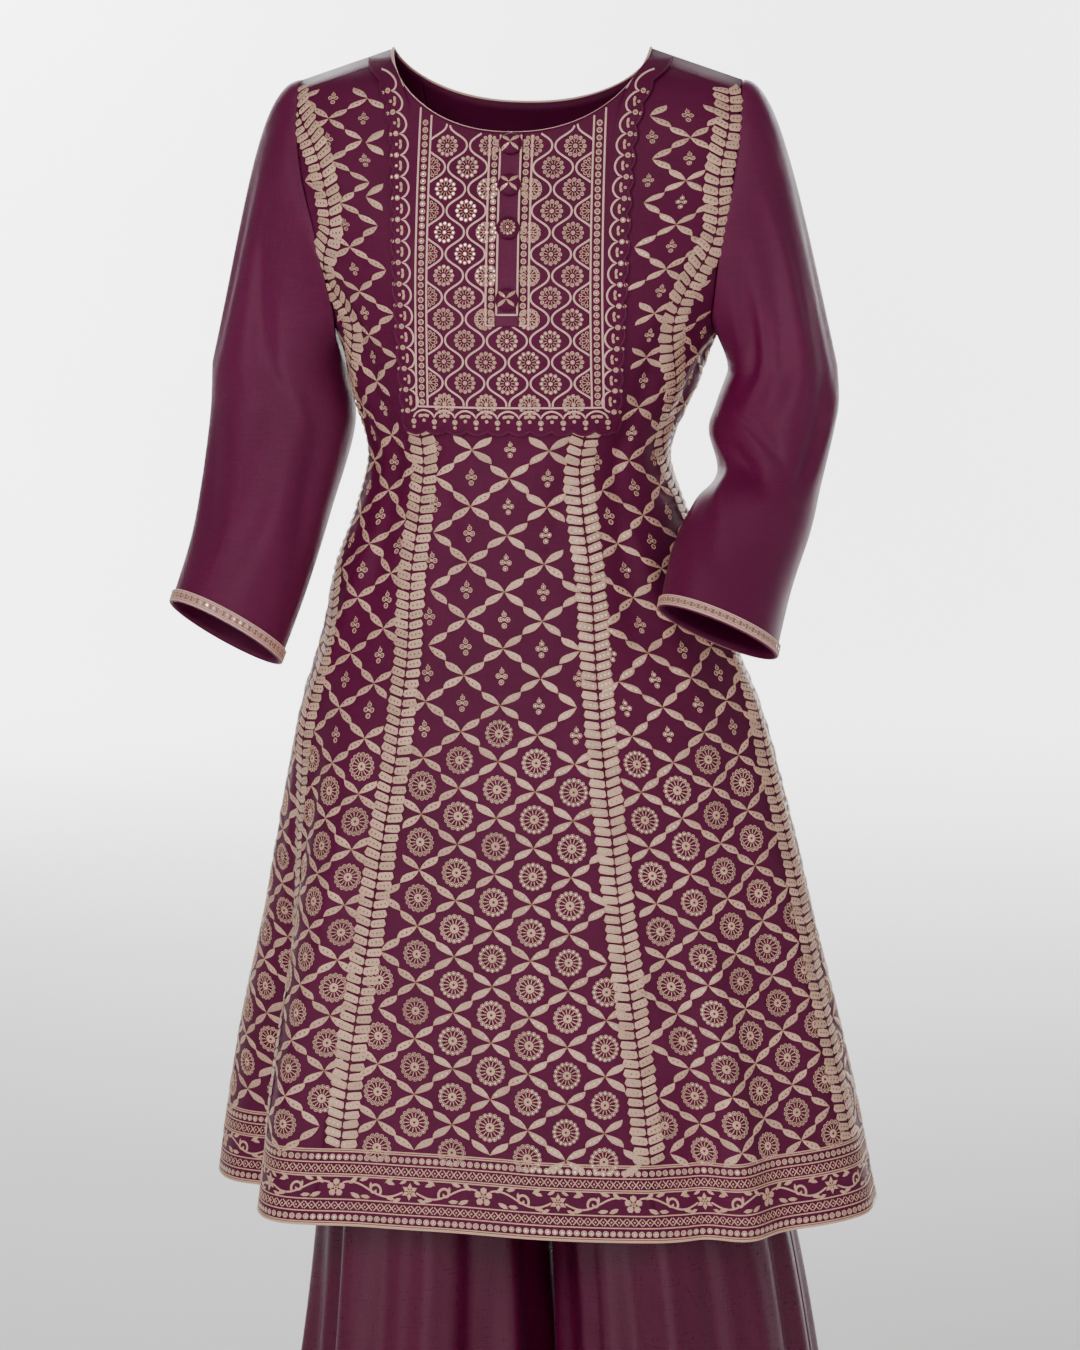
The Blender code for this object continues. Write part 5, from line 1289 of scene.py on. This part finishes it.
# the yoke's own corded edge
work = newStitching()
share = np.linspace(0, 1, 17 * 8 + 1)
z = yokeForm["top"] - 0.001 + (yokeForm["bottom"] - yokeForm["top"]) * share
side = yokeHalf(z) + yokeForm["scallop"] * np.abs(np.sin(math.pi * share * yokeForm["sideScallops"])) - 0.0010
low = np.linspace(-1, 1, 10 * 8 + 1)
bottom = np.stack([low * (yokeForm["half"][-1] - 0.001), yokeForm["bottom"] + 0.0010 - yokeForm["scallop"] * np.abs(
    np.sin(math.pi * yokeForm["bottomScallops"] * (low + 1) / 2))], -1)
outline = np.concatenate([np.stack([-side, z], -1), bottom[1:-1], np.stack([side, z], -1)[::-1]])
ribbon(work, onYoke, outline, 0.0018, 0.0010, 0)
made = makePiece("yokeEdge", np.concatenate(work["points"]), np.concatenate(work["faces"]),
                 [finishes["plainCloth"]])

placket = {"half": 0.0100, "bottom": -0.2330, "lift": 0.0028, "wall": 0.0010}
x, z = np.meshgrid(np.linspace(-placket["half"], placket["half"], 16),
                   np.linspace(-kurta["neckDepth"]["front"] - 0.0006, placket["bottom"], 80))
fold = 0.00035 * np.sin(z * 160 + 40 * x) * np.cos(z * 61)
points = onYoke(x, z, placket["lift"] - yokeForm["lift"] - yokeForm["wall"] + placket["wall"] + fold)
made = makePiece("placketStrip", points, gridFaces(*points.shape[:2], False), [finishes["plainCloth"]],
                 ("placket",), placket["wall"], uv=np.stack([x, z], -1))

button = {"radius": 0.0098, "height": 0.0062, "edge": 0.0012, "lift": 0.0041,
          "levels": (-0.0830, -0.1165, -0.1520, -0.2110)}
bowMirror = {**leaf, "points": leaf["points"] * np.array([-1, 1, 1]), "faces": leaf["faces"][:, ::-1]}
leafBow = together((leaf, 0, 0, 8, 0.55), (leaf, 0, 0, 188, 0.55), (bowMirror, 0, 0, -8, 0.5), (bowMirror, 0, 0, 172, 0.5))
for number, level in enumerate(button["levels"], start=1):
    seat = onYoke(np.array(0.0), np.array(level), np.array(0.0))
    out = clothNormal(*placeAt(np.array(0.0), np.array(level)))
    seat = seat + out * (button["lift"] - yokeForm["lift"] - yokeForm["wall"])
    right = unit(np.cross(np.array([0, 0, 1.0]), -out) * -1)
    right = right * np.sign(right[0])
    up = unit(np.cross(out, right))
    up = up * np.sign(up[2])

    def onButton(s, t, h):
        # a dome over the button's flat disc, its height falling as the cosine of the way out
        away = np.clip(np.hypot(s, t) / button["radius"], 0, 1)
        dome = button["edge"] + (button["height"] - button["edge"]) * np.sqrt(np.clip(1 - away**2, 0, 1))
        return seat + s[..., None] * right + t[..., None] * up + (dome + h)[..., None] * out

    turn, away = np.meshgrid(np.radians(np.arange(32) * 11.25), np.sin(np.radians(np.linspace(90, 3, 12))))
    radius = button["radius"] * away
    dome = onButton(radius * np.cos(turn), radius * np.sin(turn), np.zeros_like(turn))
    skirt = (seat + (button["radius"] * 0.97 * np.cos(turn[:1]))[..., None] * right
             + (button["radius"] * 0.97 * np.sin(turn[:1]))[..., None] * up)
    points = np.concatenate([skirt, dome])
    crown = (len(points) - 1) * 32
    strip = np.arange(15)[:, None] * [1, 1, -1, -1] + [0, 1, 30, 31]  # quads strung across a ring of 32
    faces = np.concatenate([gridFaces(*points.shape[:2], True)[:, ::-1], strip + crown, strip[:, ::-1]])
    made = makePiece(f"button{number}", points, faces, [finishes["kurtaCloth"]], (f"button_{number}",))
    work = newStitching()
    if number == 3:
        stamp(work, yokeRosette, onButton, [0.0], [0.0], size=0.72, loose=0.3)
    else:
        stamp(work, leafBow, onButton, [0.0], [0.0008 if number != 1 else 0.0], size=0.9, loose=0.3)
    finishStitching(f"buttonStitching{number}", work)

# piping round the neck
piping = {"radius": 0.0013, "steps": 150}
u = np.linspace(-kurta["neckEnd"], kurta["neckEnd"], piping["steps"])
frontWay, backWay = clothForm(*panelPlace("front", u, 0 * u)), clothForm(*panelPlace("back", -u, 0 * u))
way = np.concatenate([frontWay[:-1], backWay[:-1]])
ahead = unit(np.roll(way, -1, 0) - np.roll(way, 1, 0))
outward = unit(np.stack([way[:, 0] * 0, way[:, 1], 0.03 + 0 * way[:, 0]], -1))
side = unit(np.cross(ahead, outward))
other = np.cross(side, ahead)
turn = np.radians(np.arange(8) * 45)
points = way[None] + piping["radius"] * (np.cos(turn)[:, None, None] * side[None] + np.sin(turn)[:, None, None] * other[None])
points = np.swapaxes(points, 0, 1)
index = np.arange(len(way) * 8).reshape(len(way), 8)
nextWay, nextTurn = np.roll(index, -1, 0), np.roll(index, -1, 1)
faces = np.stack([index, nextWay, np.roll(nextWay, -1, 1), nextTurn], -1).reshape(-1, 4)
run = np.broadcast_to((np.arange(len(way)) * 1.6)[:, None], index.shape)
made = makePiece("neckPiping", points, faces, [finishes["cord"]],
                 uv=np.stack([run, np.broadcast_to(np.arange(8) * 0.5, index.shape)], -1), tone=np.ones(index.shape))
print("yoke, placket, buttons and piping made")


# cuff lace

cuffLace = {"width": 0.0110, "lift": 0.0006, "wall": 0.0010, "pitch": 0.0062}
for hand in ("left", "right"):
    ends = np.arange(0, 361, 2.0)
    rim = sleevePoint(hand, ends, np.ones_like(ends))
    drop = np.linalg.norm(rim - sleevePoint(hand, ends, np.full_like(ends, 0.99)), axis=-1) / 0.01
    gone = np.concatenate([[0], np.cumsum(np.linalg.norm(np.diff(rim, axis=0), axis=1))])
    way = -1.0 if hand == "right" else 1.0

    def onCuff(s, d, h):
        # the distance round the rim and up from it, lifted off the sleeve
        angle = np.interp((way * s) % gone[-1], gone, ends)
        along = 1 - d / np.interp(angle, ends, drop)
        return sleevePoint(hand, angle, along) + sleeveTurn(sleevePoint, hand, angle, along, 1.0) * np.asarray(h)[..., None]

    columns = np.arange(120) * gone[-1] / 120
    s, d = np.meshgrid(columns, cuffLace["width"] * np.array([1.0, 0.75, 0.5, 0.25, 0.02]))
    points = onCuff(s, d, np.full_like(s, cuffLace["lift"] + cuffLace["wall"]))
    made = makePiece("cuffLace" + hand.capitalize(), points, gridFaces(*points.shape[:2], True), [finishes["cuffGround"]],
                     (f"cuff_trim_{hand}",), cuffLace["wall"], uv=np.stack([s * 1000, d * 1000], -1),
                     tone=np.ones_like(s))
    work = newStitching()
    top = cuffLace["lift"] + cuffLace["wall"]
    round_ = np.arange(200) * gone[-1] / 200
    for d, width in ((0.0102, 0.0012), (0.0086, 0.0010), (0.0030, 0.0010), (0.0012, 0.0014)):
        ribbon(work, onCuff, np.stack([round_, np.full(200, d)], -1), width, 0.0007, cordPlace, lift=top, closed=True)
    count = int(gone[-1] / cuffLace["pitch"])
    stamp(work, ring, onCuff, np.arange(count) * gone[-1] / count, np.full(count, 0.0058), size=0.88, lift=top, loose=0.4)
    finishStitching("cuffStitching" + hand.capitalize(), work)
print("cuff lace made")


# camera, floor and light

studio = {"distance": 3.9, "azimuth": math.radians(5.5), "height": -0.05, "aside": 0.0155,
          "lens": 120, "pitch": 82.8, "floorZ": -1.50, "wallY": 8.4, "curve": 1.2}
camera = bpy.data.objects.new("camera", bpy.data.cameras.new("camera"))
bpy.context.scene.collection.objects.link(camera)
sinA, cosA = math.sin(studio["azimuth"]), math.cos(studio["azimuth"])
camera.location = (sinA * studio["distance"] + cosA * studio["aside"],
                   -cosA * studio["distance"] + sinA * studio["aside"], studio["height"])
camera.rotation_euler = (math.radians(studio["pitch"]), 0, studio["azimuth"])
camera.data.lens = studio["lens"]
bpy.context.scene.camera = camera

# the floor runs back, turns up a quarter circle and goes on as the wall, behind every camera
turnUp = np.radians(np.arange(5, 91, 5))
flatEnd = studio["wallY"] - studio["curve"]
run = np.concatenate([np.stack([np.linspace(-9, flatEnd, 20), np.zeros(20)], -1),
                      np.stack([flatEnd + studio["curve"] * np.sin(turnUp), studio["curve"] * (1 - np.cos(turnUp))], -1),
                      [[studio["wallY"], 9.0]]])
across = np.linspace(-9, 9, 10)
points = np.stack([np.broadcast_to(across, (len(run), 10)), np.repeat(run[:, :1], 10, 1),
                   np.repeat(run[:, 1:], 10, 1) + studio["floorZ"]], -1)
mesh = bpy.data.meshes.new("floor")
mesh.from_pydata(points.reshape(-1, 3).tolist(), [], gridFaces(len(run), 10, False)[:, ::-1].tolist())
mesh.materials.append(finishes["floor"])
mesh.shade_smooth()
floor = bpy.data.objects.new("floor", mesh)
bpy.context.scene.collection.objects.link(floor)

world = bpy.data.worlds.new("studio")
world.use_nodes = True
world.node_tree.nodes["Background"].inputs["Color"].default_value = (1.0, 0.99, 0.985, 1)
world.node_tree.nodes["Background"].inputs["Strength"].default_value = 0.28
bpy.context.scene.world = world
lights = {  # place, what it is aimed at, size and power
    "key": ((-1.3, -3.4, 1.5), (0, 0, -0.55), 1.5, 75),
    "fill": ((2.2, -3.2, 0.4), (0, 0, -0.5), 2.0, 28),
    "low": ((0.2, -3.4, -1.0), (0, 0, -0.9), 1.6, 14),
    "rear": ((-1.2, 3.4, 1.3), (0, 0, -0.6), 1.8, 45),
    "backdropLeft": ((-3.4, 6.0, 1.4), (-1.2, 8.4, 0.2), 2.4, 620),
    "backdropRight": ((3.8, 6.0, 1.4), (1.6, 8.4, 0.2), 2.4, 620),
}
for name, (spot, aim, size, power) in lights.items():
    light = bpy.data.lights.new(name, "AREA")
    light.size, light.energy = size, power
    placed = bpy.data.objects.new(name, light)
    placed.location = spot
    placed.visible_camera = False
    way = np.array(aim, float) - np.array(spot)
    placed.rotation_euler = (math.atan2(math.hypot(way[0], way[1]), -way[2]), 0,
                             math.atan2(way[1], way[0]) - math.pi / 2)
    bpy.context.scene.collection.objects.link(placed)
print("studio set")

bpy.context.view_layer.update()
